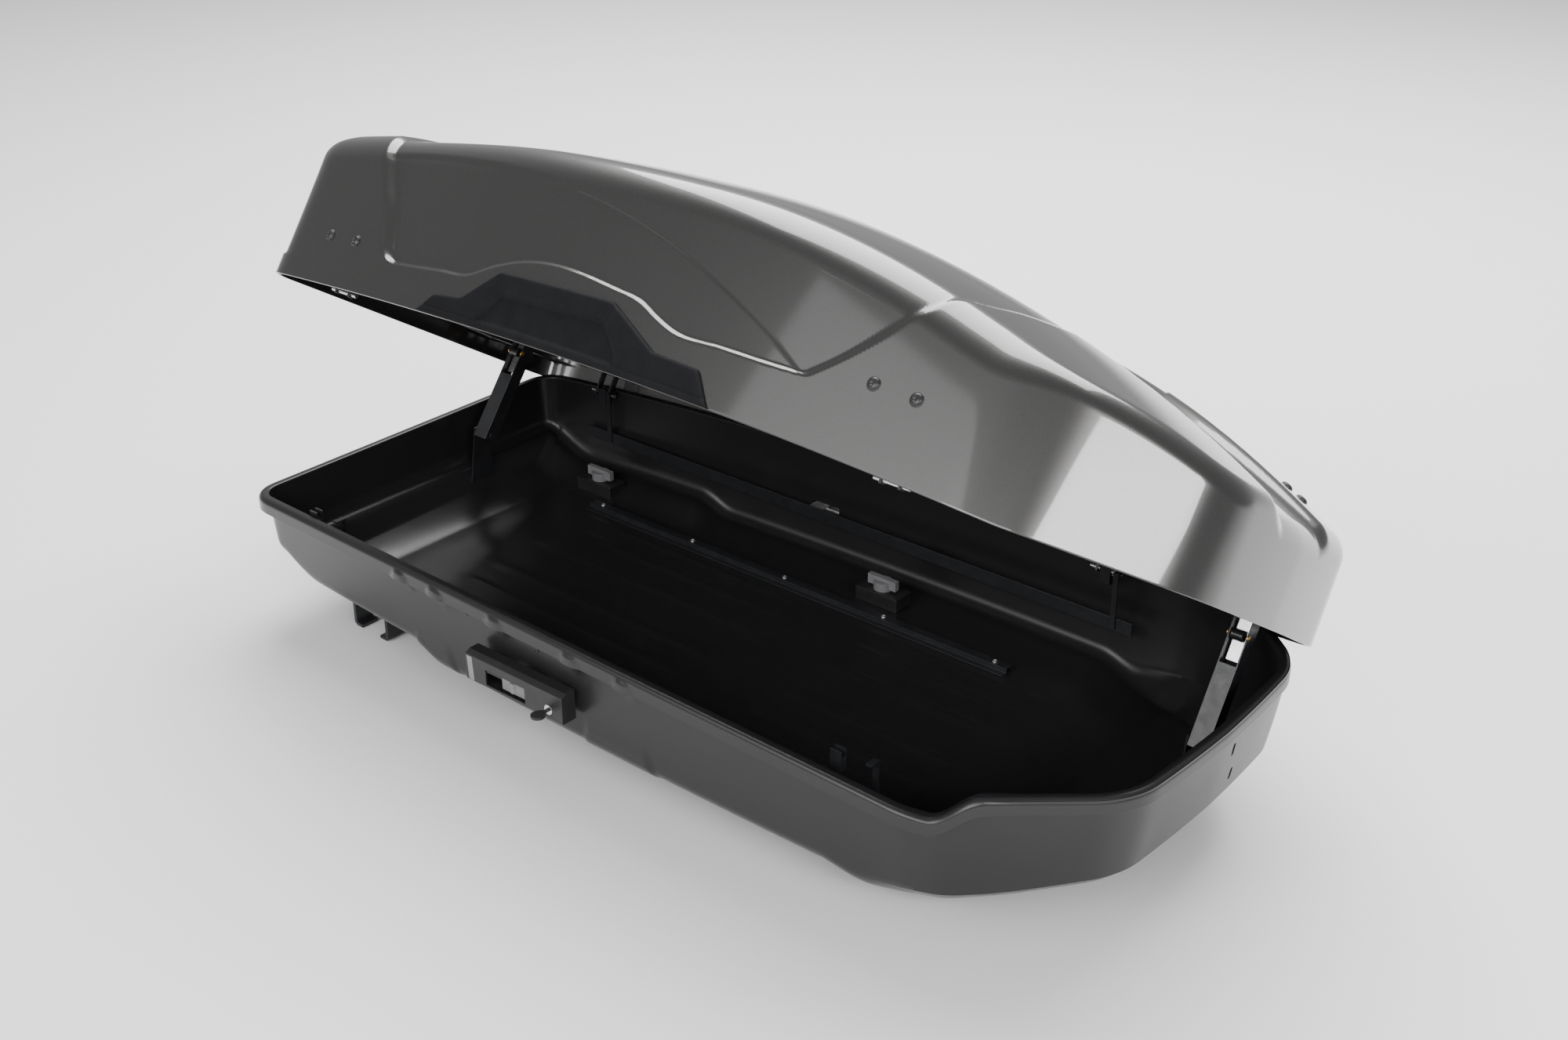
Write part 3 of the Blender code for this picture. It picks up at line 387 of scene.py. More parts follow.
def turned(profile, place, facing, steps=40):
    """A round piece: (radius, height) points spun about an axis that faces along a vector."""
    angles = np.linspace(0.0, 2.0 * math.pi, steps, endpoint=False)
    points = np.array([[(r * math.cos(a), r * math.sin(a), h) for r, h in profile] for a in angles])
    index = np.arange(steps * len(profile)).reshape(steps, len(profile))
    after = np.roll(index, -1, axis=0)
    faces = np.stack([index[:, :-1], after[:, :-1], after[:, 1:], index[:, 1:]], axis=-1).reshape(-1, 4)
    mesh = welded_mesh("turned", points.reshape(-1, 3), faces)
    turn = Vector(facing).to_track_quat("Z", "Y").to_matrix().to_4x4()
    mesh.transform(Matrix.Translation(place) @ turn)
    return smooth(mesh)


# ---------------------------------------------------------------- finishes


class Finish:
    """A Principled material and its nodes."""

    def __init__(self, name, colour, roughness, metallic=0.0, **values):
        self.material = bpy.data.materials.new(name)
        self.material.use_nodes = True
        self.tree = self.material.node_tree
        self.shader = self.tree.nodes["Principled BSDF"]
        self.colour, self.roughness = colour, roughness
        self.shader.inputs["Base Color"].default_value = (*colour, 1.0)
        self.shader.inputs["Roughness"].default_value = roughness
        self.shader.inputs["Metallic"].default_value = metallic
        for key, value in values.items():
            self.shader.inputs[key.replace("_", " ")].default_value = value
        self.place = self.tree.nodes.new("ShaderNodeTexCoord").outputs["Object"]

    def noise(self, scale, detail=3.0, roughness=0.55, stretch=None):
        texture = self.tree.nodes.new("ShaderNodeTexNoise")
        texture.inputs["Scale"].default_value = scale
        texture.inputs["Detail"].default_value = detail
        texture.inputs["Roughness"].default_value = roughness
        place = self.place
        if stretch:
            mapping = self.tree.nodes.new("ShaderNodeMapping")
            mapping.inputs["Scale"].default_value = stretch
            self.tree.links.new(place, mapping.inputs["Vector"])
            place = mapping.outputs["Vector"]
        self.tree.links.new(place, texture.inputs["Vector"])
        return texture.outputs["Fac"]

    def cells(self, scale):
        texture = self.tree.nodes.new("ShaderNodeTexVoronoi")
        texture.inputs["Scale"].default_value = scale
        self.tree.links.new(self.place, texture.inputs["Vector"])
        return texture.outputs["Color"]

    def spread(self, source, low, high, socket, source_low=0.3, source_high=0.7):
        """Maps a texture onto a value between low and high and feeds a shader socket."""
        node = self.tree.nodes.new("ShaderNodeMapRange")
        limits = {"From Min": source_low, "From Max": source_high, "To Min": low, "To Max": high}
        for key, value in limits.items():
            node.inputs[key].default_value = value
        self.tree.links.new(source, node.inputs["Value"])
        self.tree.links.new(node.outputs["Result"], self.shader.inputs[socket])
        return self

    def tint(self, source, dark, light, low=0.3, high=0.7):
        """Varies the colour between dark and light shares of it."""
        node = self.tree.nodes.new("ShaderNodeValToRGB")
        for stop, place, share in zip(node.color_ramp.elements, (low, high), (dark, light)):
            stop.position = place
            stop.color = (*(c * share for c in self.colour), 1.0)
        self.tree.links.new(source, node.inputs["Fac"])
        self.tree.links.new(node.outputs["Color"], self.shader.inputs["Base Color"])
        return self

    def bump(self, source, depth, strength=1.0, socket="Normal"):
        node = self.tree.nodes.new("ShaderNodeBump")
        node.inputs["Distance"].default_value = depth
        node.inputs["Strength"].default_value = strength
        self.tree.links.new(source, node.inputs["Height"])
        previous = self.shader.inputs[socket].links
        if previous:
            self.tree.links.new(previous[0].from_socket, node.inputs["Normal"])
        self.tree.links.new(node.outputs["Normal"], self.shader.inputs[socket])
        return self


def lid_paint():
    """Metallic grey under a clear gloss: fine flakes, and a faint waviness of the sheet."""
    finish = Finish("lid_grey", (0.062, 0.061, 0.060), 0.30, 0.85,
                    Coat_Weight=1.0, Coat_Roughness=0.06, Coat_IOR=1.45)
    finish.tint(finish.cells(2600.0), 0.86, 1.16, 0.1, 0.9)
    finish.spread(finish.noise(1800.0, 1.0), 0.26, 0.34, "Roughness")
    finish.bump(finish.noise(7.0, 1.0), 0.0006, 0.25, "Coat Normal")
    return finish.material


def lid_lining():
    """The unpainted inner face of the lid."""
    finish = Finish("lid_lining", (0.020, 0.020, 0.021), 0.50)
    finish.tint(finish.noise(9.0), 0.85, 1.15)
    finish.spread(finish.noise(220.0), 0.42, 0.58, "Roughness")
    return finish.bump(finish.noise(650.0, 2.0), 0.0002, 0.5).material


def shell_plastic():
    """Satin black sheet with a fine grain."""
    finish = Finish("shell_black", (0.0120, 0.0120, 0.0130), 0.30, Specular_IOR_Level=0.46)
    finish.tint(finish.noise(11.0, 5.0), 0.94, 1.06)
    finish.spread(finish.noise(12.0, 3.0), 0.28, 0.32, "Roughness")
    return finish.bump(finish.noise(900.0, 2.0), 0.00016, 0.45).material


def trim_plastic():
    """Moulded black with a coarse spark-eroded texture."""
    finish = Finish("trim_black", (0.0060, 0.0062, 0.0072), 0.60, Specular_IOR_Level=0.12)
    finish.tint(finish.noise(40.0, 4.0), 0.85, 1.2)
    finish.spread(finish.noise(500.0, 3.0), 0.54, 0.72, "Roughness")
    return finish.bump(finish.noise(1100.0, 3.0, 0.7), 0.0005, 0.9).material


def lock_plastic():
    finish = Finish("lock_black", (0.014, 0.014, 0.015), 0.36)
    finish.tint(finish.noise(60.0, 4.0), 0.85, 1.2)
    finish.spread(finish.noise(35.0, 5.0), 0.30, 0.44, "Roughness")
    return finish.bump(finish.noise(1500.0, 2.0), 0.00015, 0.5).material


def grey_plastic(name="handle_grey", colour=(0.16, 0.16, 0.165)):
    finish = Finish(name, colour, 0.45)
    finish.tint(finish.noise(70.0, 4.0), 0.9, 1.1)
    finish.spread(finish.noise(45.0, 5.0), 0.40, 0.54, "Roughness")
    return finish.bump(finish.noise(1400.0, 2.0), 0.0002, 0.5).material


def key_plastic(name="key_black", colour=(0.012, 0.012, 0.013), roughness=0.42):
    finish = Finish(name, colour, roughness)
    finish.tint(finish.noise(90.0, 4.0), 0.8, 1.25)
    finish.spread(finish.noise(120.0, 4.0), roughness - 0.06, roughness + 0.10, "Roughness")
    return finish.bump(finish.noise(1700.0, 2.0), 0.0002, 0.6).material


def coated_steel():
    """Powder coat with a fine orange peel."""
    finish = Finish("steel_black", (0.013, 0.0135, 0.0155), 0.40, 0.1,
                    Coat_Weight=0.15, Coat_Roughness=0.25)
    finish.tint(finish.noise(30.0, 5.0), 0.85, 1.2)
    finish.spread(finish.noise(60.0, 4.0), 0.32, 0.46, "Roughness")
    return finish.bump(finish.noise(420.0, 1.0), 0.0003, 0.5).material


def bright_steel():
    """Zinc-plated steel with drawing lines along it."""
    finish = Finish("steel_bright", (0.60, 0.60, 0.61), 0.26, 1.0)
    finish.tint(finish.noise(25.0, 5.0), 0.85, 1.08)
    finish.spread(finish.noise(260.0, 4.0, 0.6, (1.0, 1.0, 12.0)), 0.18, 0.36, "Roughness")
    return finish.bump(finish.noise(500.0, 2.0, 0.6, (8.0, 1.0, 1.0)), 0.00012, 0.5).material


def polished_steel():
    finish = Finish("chrome", (0.74, 0.74, 0.75), 0.12, 1.0)
    finish.tint(finish.noise(160.0, 3.0), 0.9, 1.05)
    finish.spread(finish.noise(420.0, 4.0), 0.08, 0.2, "Roughness")
    return finish.bump(finish.noise(700.0, 2.0), 0.00006, 0.5).material


def brass():
    finish = Finish("screw_brass", (0.60, 0.38, 0.12), 0.28, 1.0)
    finish.tint(finish.noise(260.0, 3.0), 0.8, 1.1)
    finish.spread(finish.noise(500.0, 4.0), 0.2, 0.4, "Roughness")
    return finish.bump(finish.noise(900.0, 2.0), 0.00008, 0.5).material


FINISHES = {
    "lid_grey": lid_paint(),
    "lid_lining": lid_lining(),
    "shell_black": shell_plastic(),
    "trim_black": trim_plastic(),
    "lock_black": lock_plastic(),
    "handle_grey": grey_plastic(),
    "key_black": key_plastic(),
    "steel_black": coated_steel(),
    "steel_bright": bright_steel(),
    "chrome": polished_steel(),
    "brass": brass(),
    "marker": grey_plastic("marker_grey", (0.20, 0.20, 0.21)),
    "roller": key_plastic("roller_black", (0.010, 0.010, 0.011), 0.22),
}


# ---------------------------------------------------------------- lid

STATIONS, WALL_ROWS, SHOULDER_ROWS, ROOF_ROWS = 560, 96, 18, 44

# edges of the recessed panel, as (position, height above the joint) knots
PANEL_LOW = [(-0.66, 0.055), (-0.535, 0.057), (-0.426, 0.064), (-0.365, 0.069), (-0.318, 0.092),
             (-0.280, 0.106), (-0.060, 0.112), (-0.010, 0.106), (0.030, 0.091), (0.067, 0.080),
             (0.163, 0.080), (0.270, 0.082), (0.34, 0.086)]
CREASE = [(-0.70, 0.232), (-0.655, 0.240), (-0.51, 0.253), (-0.36, 0.255), (-0.243, 0.247),
          (-0.122, 0.232), (0.018, 0.200), (0.156, 0.1535), (0.238, 0.1205), (0.31, 0.086), (0.40, 0.045)]
# edges that run up the wall and over the shoulder, by the way walked up and inwards from the lid's edge
PANEL_FRONT = [(0.0, 0.215), (0.085, 0.312), (0.12, 0.352), (0.158, 0.389), (0.194, 0.420), (0.233, 0.450),
               (0.297, 0.474), (0.347, 0.496), (0.42, 0.512), (0.482, 0.529), (0.72, 0.560)]
PILLAR = [(0.0, -0.560), (0.06, -0.578), (0.10, -0.594), (0.16, -0.622), (0.20, -0.648), (0.24, -0.672),
          (0.30, -0.694), (0.42, -0.705), (0.72, -0.712)]
PILLAR_WIDTH, LINE_WIDTH, PANEL_ROUND = 0.026, 0.006, 0.034
PANEL_DEEP, PANEL_REAR_DEEP = 0.0032, 0.0062  # the second adds to the first towards the tail
CREASE_DEEP, CREASE_FADE = 0.0034, 0.0018

HALF_LENGTH, ROOF_END = 0.875, 0.87
TAIL_POWER, NOSE_POWER, CROWN_POWER = 2.1, 2, 2.4
RIDGE_Y, RIDGE_NARROWING, CROWN_Y = 0.23, 0.12, 0.40
SLOPE_STEP = 0.004  # over which slopes are measured


def crest_line(x):
    tail = np.clip(-x / HALF_LENGTH, 0.0, None) ** TAIL_POWER
    nose = np.clip(x / HALF_LENGTH, 0.0, None) ** NOSE_POWER
    return CREST - REAR_DROP * tail - NOSE_DROP * nose


def roof_z(x, y):
    """The roof: two ridges that run together at the nose, with a shallow valley between them."""
    reach = np.abs(y)
    ridge = RIDGE_Y - RIDGE_NARROWING * ramp(x, 0.2, ROOF_END)
    crown = CROWN * (reach / CROWN_Y) ** CROWN_POWER * (1.0 - 0.5 * ramp(x, 0.5, ROOF_END))
    valley = VALLEY * ramp(x, -0.02, 0.20) * (1.0 - 0.4 * ramp(x, 0.6, ROOF_END))
    return SPLIT_Z + crest_line(x) - crown - valley * (1.0 - ramp(reach / ridge, 0.66, 1.0))


def edge_slope(value, knots):
    return (curve(value + SLOPE_STEP, knots) - curve(value - SLOPE_STEP, knots)) / (2.0 * SLOPE_STEP)


def panel_depth(x, height, walked):
    """How deep the panel behind the nose lies below the cap, the nose and the lower band."""
    from_pillar = x - curve(walked, PILLAR)
    from_low = (height - curve(x, PANEL_LOW)) / np.hypot(1.0, edge_slope(x, PANEL_LOW))
    from_front = (curve(walked, PANEL_FRONT) - x) / np.hypot(1.0, edge_slope(walked, PANEL_FRONT))
    near_pillar, near_low = (np.clip(PANEL_ROUND - d, 0.0, None) for d in (from_pillar, from_low))
    corner = np.hypot(near_pillar, near_low)
    share = near_pillar / np.maximum(corner, 1e-9)
    inside = np.where(corner > 0.0, PANEL_ROUND - corner, np.minimum(from_pillar, from_low))
    width = LINE_WIDTH + (PILLAR_WIDTH - LINE_WIDTH) * np.where(corner > 0.0, share**2, 0.0)
    deep = PANEL_DEEP + PANEL_REAR_DEEP * (1.0 - ramp(x, -0.66, -0.30))
    edge = ramp(inside, 0.0, width) * ramp(from_front, 0.0, LINE_WIDTH)
    below = ramp(curve(x, CREASE) - height, 0.0, 0.007) * ramp(x, -0.72, -0.60)
    return edge * (deep + below * (CREASE_DEEP - CREASE_FADE * ramp(x, 0.0, 0.25)))


def lid_grid():
    """The lid's outer face, near half: from the edge up the wall, over the shoulder and along the roof."""
    points, normals = rim_half(STATIONS)
    nose, tail = np.clip(-normals[:, 0], 0.0, 1.0) ** 2, np.clip(normals[:, 0], 0.0, 1.0) ** 2
    draft = np.radians(WALL_DRAFT + (NOSE_DRAFT - WALL_DRAFT) * nose + (REAR_DRAFT - WALL_DRAFT) * tail)
    fore = ramp(points[:, 0], 0.56, 0.70)
    radius = SHOULDER + (REAR_SHOULDER - SHOULDER) * tail + (NOSE_SHOULDER - SHOULDER) * fore
    bottom = split_z(points[:, 0]) - LAP
    height = np.full(len(points), 0.2)  # a first guess, which four rounds settle
    for _ in range(4):
        edge = points + normals * (height * np.tan(draft))[:, None]
        height = roof_z(edge[:, 0], edge[:, 1]) - radius - bottom
    columns = []
    for share in np.linspace(0.0, 1.0, WALL_ROWS):
        plan = points + (edge - points) * share
        columns.append(np.column_stack([plan, bottom + height * share]))
    for share in np.linspace(0.0, 1.0, SHOULDER_ROWS)[1:]:
        angle = draft + (math.pi / 2 - draft) * share
        plan = edge + normals * (radius * (np.cos(draft) - np.cos(angle)))[:, None]
        level = roof_z(plan[:, 0], plan[:, 1]) - radius * (1.0 - np.sin(angle))
        columns.append(np.column_stack([plan, level]))
    shoulder, middle = plan, spine(points)
    for share in np.linspace(0.0, 1.0, ROOF_ROWS)[1:]:
        plan = shoulder + (middle - shoulder) * share
        columns.append(np.column_stack([plan, roof_z(plan[:, 0], plan[:, 1])]))
    grid = np.stack(columns, axis=1)
    grid[0, :, 1] = grid[-1, :, 1] = grid[:, -1, 1] = 0.0
    return grid, tail


def lid_outer():
    """The outer face with its panel pressed in and the tail's skirt standing out."""
    grid, tail = lid_grid()
    x, y, z = np.moveaxis(grid, 2, 0)
    height = z - split_z(x)
    walked = height + np.clip(side_y(x) - 0.004 + y, 0.0, None)
    depth = panel_depth(x, height, walked)
    depth = depth + tail[:, None] * FLARE * ramp(height, FLARE_HEIGHT - 0.004, FLARE_HEIGHT)
    return grid - grid_normals(grid) * depth[:, :, None]


def lid_shell():
    """The sheet: painted outside, plain inside, with a rounded lower edge."""
    outer = lid_outer()
    normals = grid_normals(outer)
    inner = outer - normals * SHEET
    down = np.array((0.0, 0.0, -1.0)) * SHEET * 0.35
    round_edge = [outer[:, 0] - normals[:, 0] * SHEET * (1.0 - math.cos(a)) / 2.0 + down * math.sin(a)
                  for a in (2.6, 2.1, 1.57, 1.0, 0.5)]
    sheet = np.concatenate([inner[:, ::-1], np.stack(round_edge, axis=1), outer], axis=1)
    rows, columns = sheet.shape[:2]
    faces = grid_faces(rows, columns)
    strip = np.tile(np.arange(columns - 1), rows - 1)
    tags = (strip < inner.shape[1] + 1).astype(int)
    points, faces, tags = both_sides(sheet.reshape(-1, 3), faces, tags)
    return on_lid(smooth(welded_mesh("lid_shell", points, faces, tags), 60.0))


def lid_surface(x, y=None, z=None):
    """A point of the closed lid's near wall at (x, z), or of its roof at (x, y), and the way it faces."""
    if z is None:
        step = SLOPE_STEP
        slope_x = float(roof_z(x + step, y) - roof_z(x - step, y)) / (2 * step)
        slope_y = float(roof_z(x, y + step) - roof_z(x, y - step)) / (2 * step)
        return Vector((x, y, float(roof_z(x, y)))), Vector((-slope_x, -slope_y, 1.0)).normalized()
    draft = math.radians(WALL_DRAFT)
    lean = (z - float(split_z(x)) + LAP) * math.tan(draft)
    return Vector((x, -float(side_y(x)) + lean, z)), Vector((0.0, -math.cos(draft), math.sin(draft)))


# ---------------------------------------------------------------- trims


def rounded_outline(corners, radius):
    """An open outline with its inner corners rounded."""
    corners = [np.array(c) for c in corners]
    points = [corners[0]]
    for before, corner, after in zip(corners[:-2], corners[1:-1], corners[2:]):
        shortest = min(np.linalg.norm(before - corner), np.linalg.norm(after - corner))
        points += corner_arc(before, corner, after, min(radius, shortest * 0.45), 9)
    return np.array(points + [corners[-1]])


def outline_distance(points, outline):
    """Distance of each point to a polyline."""
    best = np.full(points.shape[:-1], 1e9)
    for a, b in zip(outline[:-1], outline[1:]):
        span = b - a
        along = np.clip(((points - a) @ span) / (span @ span), 0.0, 1.0)
        best = np.minimum(best, np.linalg.norm(points - a - along[..., None] * span, axis=-1))
    return best


def side_trim():
    """A textured plate on the lid's near edge: rounded rim, a ledge along the bottom and a sunk grip."""
    outline = rounded_outline(TRIM_OUTLINE, TRIM_CORNER)
    grip = rounded_outline(GRIP_OUTLINE, GRIP_CORNER)
    xs = np.linspace(outline[0, 0], outline[-1, 0], 260)
    top = np.maximum(np.interp(xs, outline[:, 0], outline[:, 1]), 0.0015)
    height = top[:, None] * np.linspace(0.0, 1.0, 46)[None, :]
    place = np.stack([np.broadcast_to(xs[:, None], height.shape), height], axis=-1)
    rim = np.clip(outline_distance(place, outline) / TRIM_ROUND, 0.0, 1.0)
    rounding = np.sqrt(np.clip(1.0 - (1.0 - rim) ** 2, 0.0, 1.0))
    thick = TRIM_THICK * (TRIM_THIN + (1.0 - TRIM_THIN) * rounding)
    along, up = place[..., 0], place[..., 1]
    inside = up < np.interp(along, grip[:, 0], grip[:, 1], left=-1.0, right=-1.0)
    distance = outline_distance(place, grip) * np.where(inside, 1.0, -1.0)
    thick = thick - GRIP_DEEP * ramp(distance, -0.0015, 0.0035) * ramp(up, 0.010, 0.016)
    thick = thick + GRIP_BEAD * ramp(distance, -0.006, -0.003) * (1.0 - ramp(distance, -0.003, -0.001))
    thick = thick - LEDGE_DEEP * ramp(up, 0.0075, 0.0095) * (1.0 - ramp(up, 0.012, 0.015))
    level = split_z(xs)[:, None] - LAP + height
    draft = math.tan(math.radians(WALL_DRAFT))
    wall = -(side_y(xs)[:, None] - height * draft) - GAP * 2
    front = np.stack([along, wall - thick, level], axis=-1)
    back = np.stack([along, wall, level], axis=-1)
    rows, columns = height.shape
    loop = np.concatenate([front, back[:, ::-1], front[:, :1]], axis=1)
    around = loop.shape[1]
    ends = []
    for row, step in ((0, 1), (rows - 1, -1)):
        for j in range(columns - 1):
            a, b = row * around + j, row * around + 2 * columns - 1 - j
            ends.append([a, a + 1, b - 1, b][::step])
    faces = np.concatenate([grid_faces(rows, around), np.array(ends)])
    return smooth(welded_mesh("side_trim", loop.reshape(-1, 3), faces), 50.0)


# ---------------------------------------------------------------- rivets and screws


def rivet(place, facing):
    """A domed rivet head with a dimple, on a thin washer."""
    r = RIVET_RADIUS
    dome = [(r * math.sin(a), r * 0.16 + r * 0.42 * math.cos(a)) for a in np.linspace(0.42, math.pi / 2, 9)]
    profile = [(0.0, r * 0.36), (r * 0.22, r * 0.38), (r * 0.36, r * 0.50)] + dome + [
        (r, r * 0.10), (r * 1.12, r * 0.08), (r * 1.16, r * 0.03), (r * 1.16, -0.0006), (0.0, -0.0006)]
    return turned(profile[::-1], place, facing)


def screw(place, facing, r=SCREW_RADIUS):
    """A pan-head screw with a socket."""
    dome = [(r * math.sin(a), r * 0.25 + r * 0.35 * math.cos(a)) for a in np.linspace(0.6, math.pi / 2, 6)]
    profile = [(0.0, r * 0.18), (r * 0.40, r * 0.18), (r * 0.44, r * 0.50)] + dome + [
        (r, -0.0004), (0.0, -0.0004)]
    return turned(profile[::-1], place, facing, 24)


def lid_rivets():
    """Rivets of the four lid pivots and of both lifters' brackets, in one mesh."""
    heads = []
    for x, level in PIVOTS:
        for offset in (-PIVOT_RIVETS, PIVOT_RIVETS):
            place, facing = lid_surface(x + offset, z=float(split_z(x + offset)) + level)
            head = rivet(place, facing)
            heads += [head, mirrored(head)]
    x, y = FRONT_BRACKET
    for offset in (-FRONT_BRACKET_RIVETS, FRONT_BRACKET_RIVETS):
        heads.append(rivet(*lid_surface(x + offset, y=y)))
    for offset in (-REAR_BRACKET_RIVETS, REAR_BRACKET_RIVETS):
        heads.append(rivet(Vector(REAR_BRACKET) + Vector((0.0, offset, 0.0)), Vector((-1.0, 0.0, -0.02))))
    return on_lid(smooth(joined(heads)))


# ---------------------------------------------------------------- base

BASE_STATIONS = 440
BOSSES = (-0.415, -0.324, -0.180, -0.011, 0.100)  # bulges of the lip over the latch bar's guides
BOSS_RADIUS, BOSS_DEPTH, BOSS_HEIGHT = 0.020, 0.026, 0.0050  # the depth is below the rim
BULGES = ((-0.375, 0.055), (0.055, 0.075))  # stiffened patches of the lower wall: middle and half length
BULGE_TOP, BULGE_FOOT, BULGE_HEIGHT = 0.062, 0.03, 0.0035
BEADS, BEAD_HALF, BEAD_HEIGHT = (0.055, 0.125, 0.180), 0.007, 0.0030  # beads along the floor, by |y|
SEAT_MIDDLES = (-0.635, 0.030)  # where the beads fade out

# openings
SLIDER_FOOT, SLIDER_PLAY = 0.011, 0.001  # the slider's arm is this much narrower than its face, at each end
SLIDER_SLOT_Y, SLIDER_SLOT_Z, SLIDER_SLOT_ROUND = (0.30, 0.43), (0.0805, 0.0955), 0.003
CLAMP_SLOT_HALF, CLAMP_SLOT_Z, CLAMP_SLOT_ROUND = (0.045, 0.009), (-0.03, 0.02), 0.004
NOSE_SLOTS, NOSE_SLOT_HALF, NOSE_SLOT_ROUND = ((0.035, 0.163), (0.050, 0.112)), (0.0035, 0.011), 0.0033


def floor_z(x):
    tail = TAIL_RISE * np.clip((TAIL_X - x) / TAIL_RUN, 0.0, None) ** 1.5
    nose = NOSE_RISE * np.clip((x - NOSE_RISE_X) / 0.20, 0.0, None) ** 1.3
    return SEAT + tail + BELLY * ramp(x, 0.44, 0.53) + nose


def floor_edge_z(x):
    return floor_z(x) + CHAMFER * (1.0 - ramp(x, -0.44, -0.36))


def rim_z(x):
    return split_z(x) + NOSE_RIM_RISE * ramp(x, CHEEK_X - 0.02, CHEEK_X + 0.05)


def lip_width(x):
    return LIP_WIDTH + (NOSE_LIP_WIDTH - LIP_WIDTH) * ramp(x, 0.60, 0.75)


def wall_inset(x, level):
    depth = rim_z(x) - level
    curved = NOSE_CURVE * ramp(x, 0.44, 0.62) * depth**2
    return lip_width(x) + depth * math.tan(math.radians(BASE_DRAFT)) + curved


def seat_drop(x, y):
    """How far the bar seats stand below the floor."""
    drop = np.zeros_like(x)
    for low, high in SEATS:
        edge = np.minimum(np.minimum(x - low, high - x) + 0.002, SEAT_Y + 0.002 - np.abs(y))
        drop = np.maximum(drop, ramp(edge, 0.0, 0.003))
    return drop * SEAT


def floor_ribs(x, y):
    """Shallow beads along the floor, which fade out over the bars' seats."""
    lengthways = sum(np.exp(-((np.abs(y) - place) / BEAD_HALF) ** 2) for place in BEADS)
    inside = ramp(x, -0.60, -0.56) * (1.0 - ramp(x, 0.42, 0.46))
    clear = 1.0 - sum(np.exp(-(((x - place) / 0.075) ** 4)) for place in SEAT_MIDDLES)
    return BEAD_HEIGHT * lengthways * inside * np.clip(clear, 0.0, 1.0)


def section(points, normals, middle, sheet):
    """Floor, rounded corner and wall of the base on its outer (sheet 0) or inner face, as columns."""
    x = points[:, 0]
    radius = FLOOR_ROUND + (NOSE_ROUND - FLOOR_ROUND) * ramp(x, 0.46, 0.64) - sheet
    low = floor_edge_z(x + normals[:, 0] * 0.05) + sheet
    slope = (wall_inset(x, low) - wall_inset(x, low + radius)) / radius
    turn = math.pi / 2 - np.arctan(slope)
    foot = wall_inset(x, low + radius * (1.0 - np.cos(turn))) + sheet + radius * np.sin(turn)
    start = points + normals * foot[:, None]
    columns = []
    for share in np.linspace(1.0, 0.0, 46)[:-1] ** 1.2:
        plan = start + (middle - start) * share
        level = floor_z(plan[:, 0]) + sheet
        level = level + (low - floor_z(start[:, 0]) - sheet) * (1.0 - ramp(share, 0.0, 0.24))
        drop = seat_drop(plan[:, 0], plan[:, 1]) if sheet == 0 else 0.0
        bead = floor_ribs(plan[:, 0], plan[:, 1])
        columns.append(np.column_stack([plan, level - drop + bead * (1.0 if sheet else 0.0)]))
    flat = NOSE_FLAT * ramp(x, 0.48, 0.62)  # towards the nose the corner is a chamfer
    for share in np.linspace(0.0, 1.0, 14):
        inward = (1.0 - flat) * np.sin(turn * share) + flat * np.sin(turn) * share
        rise = (1.0 - flat) * (1.0 - np.cos(turn * share)) + flat * (1.0 - np.cos(turn)) * share
        plan = points + normals * (foot - radius * inward)[:, None]
        columns.append(np.column_stack([plan, low + radius * rise]))
    corner_top = low + radius * (1.0 - np.cos(turn))
    top = rim_z(x) - LIP_HEIGHT
    for share in np.linspace(0.0, 1.0, 16)[1:-1]:
        level = corner_top + (top - corner_top) * share
        columns.append(np.column_stack([points + normals * (wall_inset(x, level) + sheet)[:, None], level]))
    return columns


def boss_height(x, below):
    """Outward bulge of the lip and the wall under it, by the depth below the rim."""
    total = np.zeros_like(x)
    for place in BOSSES:
        reach = np.hypot((x - place) / BOSS_RADIUS, (below - BOSS_DEPTH) / BOSS_RADIUS)
        total = np.maximum(total, BOSS_HEIGHT * np.sqrt(np.clip(1.0 - reach**2, 0.0, 1.0)))
    return total


def wall_patches(x, level):
    total = np.zeros_like(x)
    for place, half in BULGES:
        edge = np.minimum(half - np.abs(x - place) - (level - BULGE_FOOT) * 0.35, BULGE_TOP - level)
        total = np.maximum(total, BULGE_HEIGHT * ramp(edge, 0.0, 0.010))
    return total


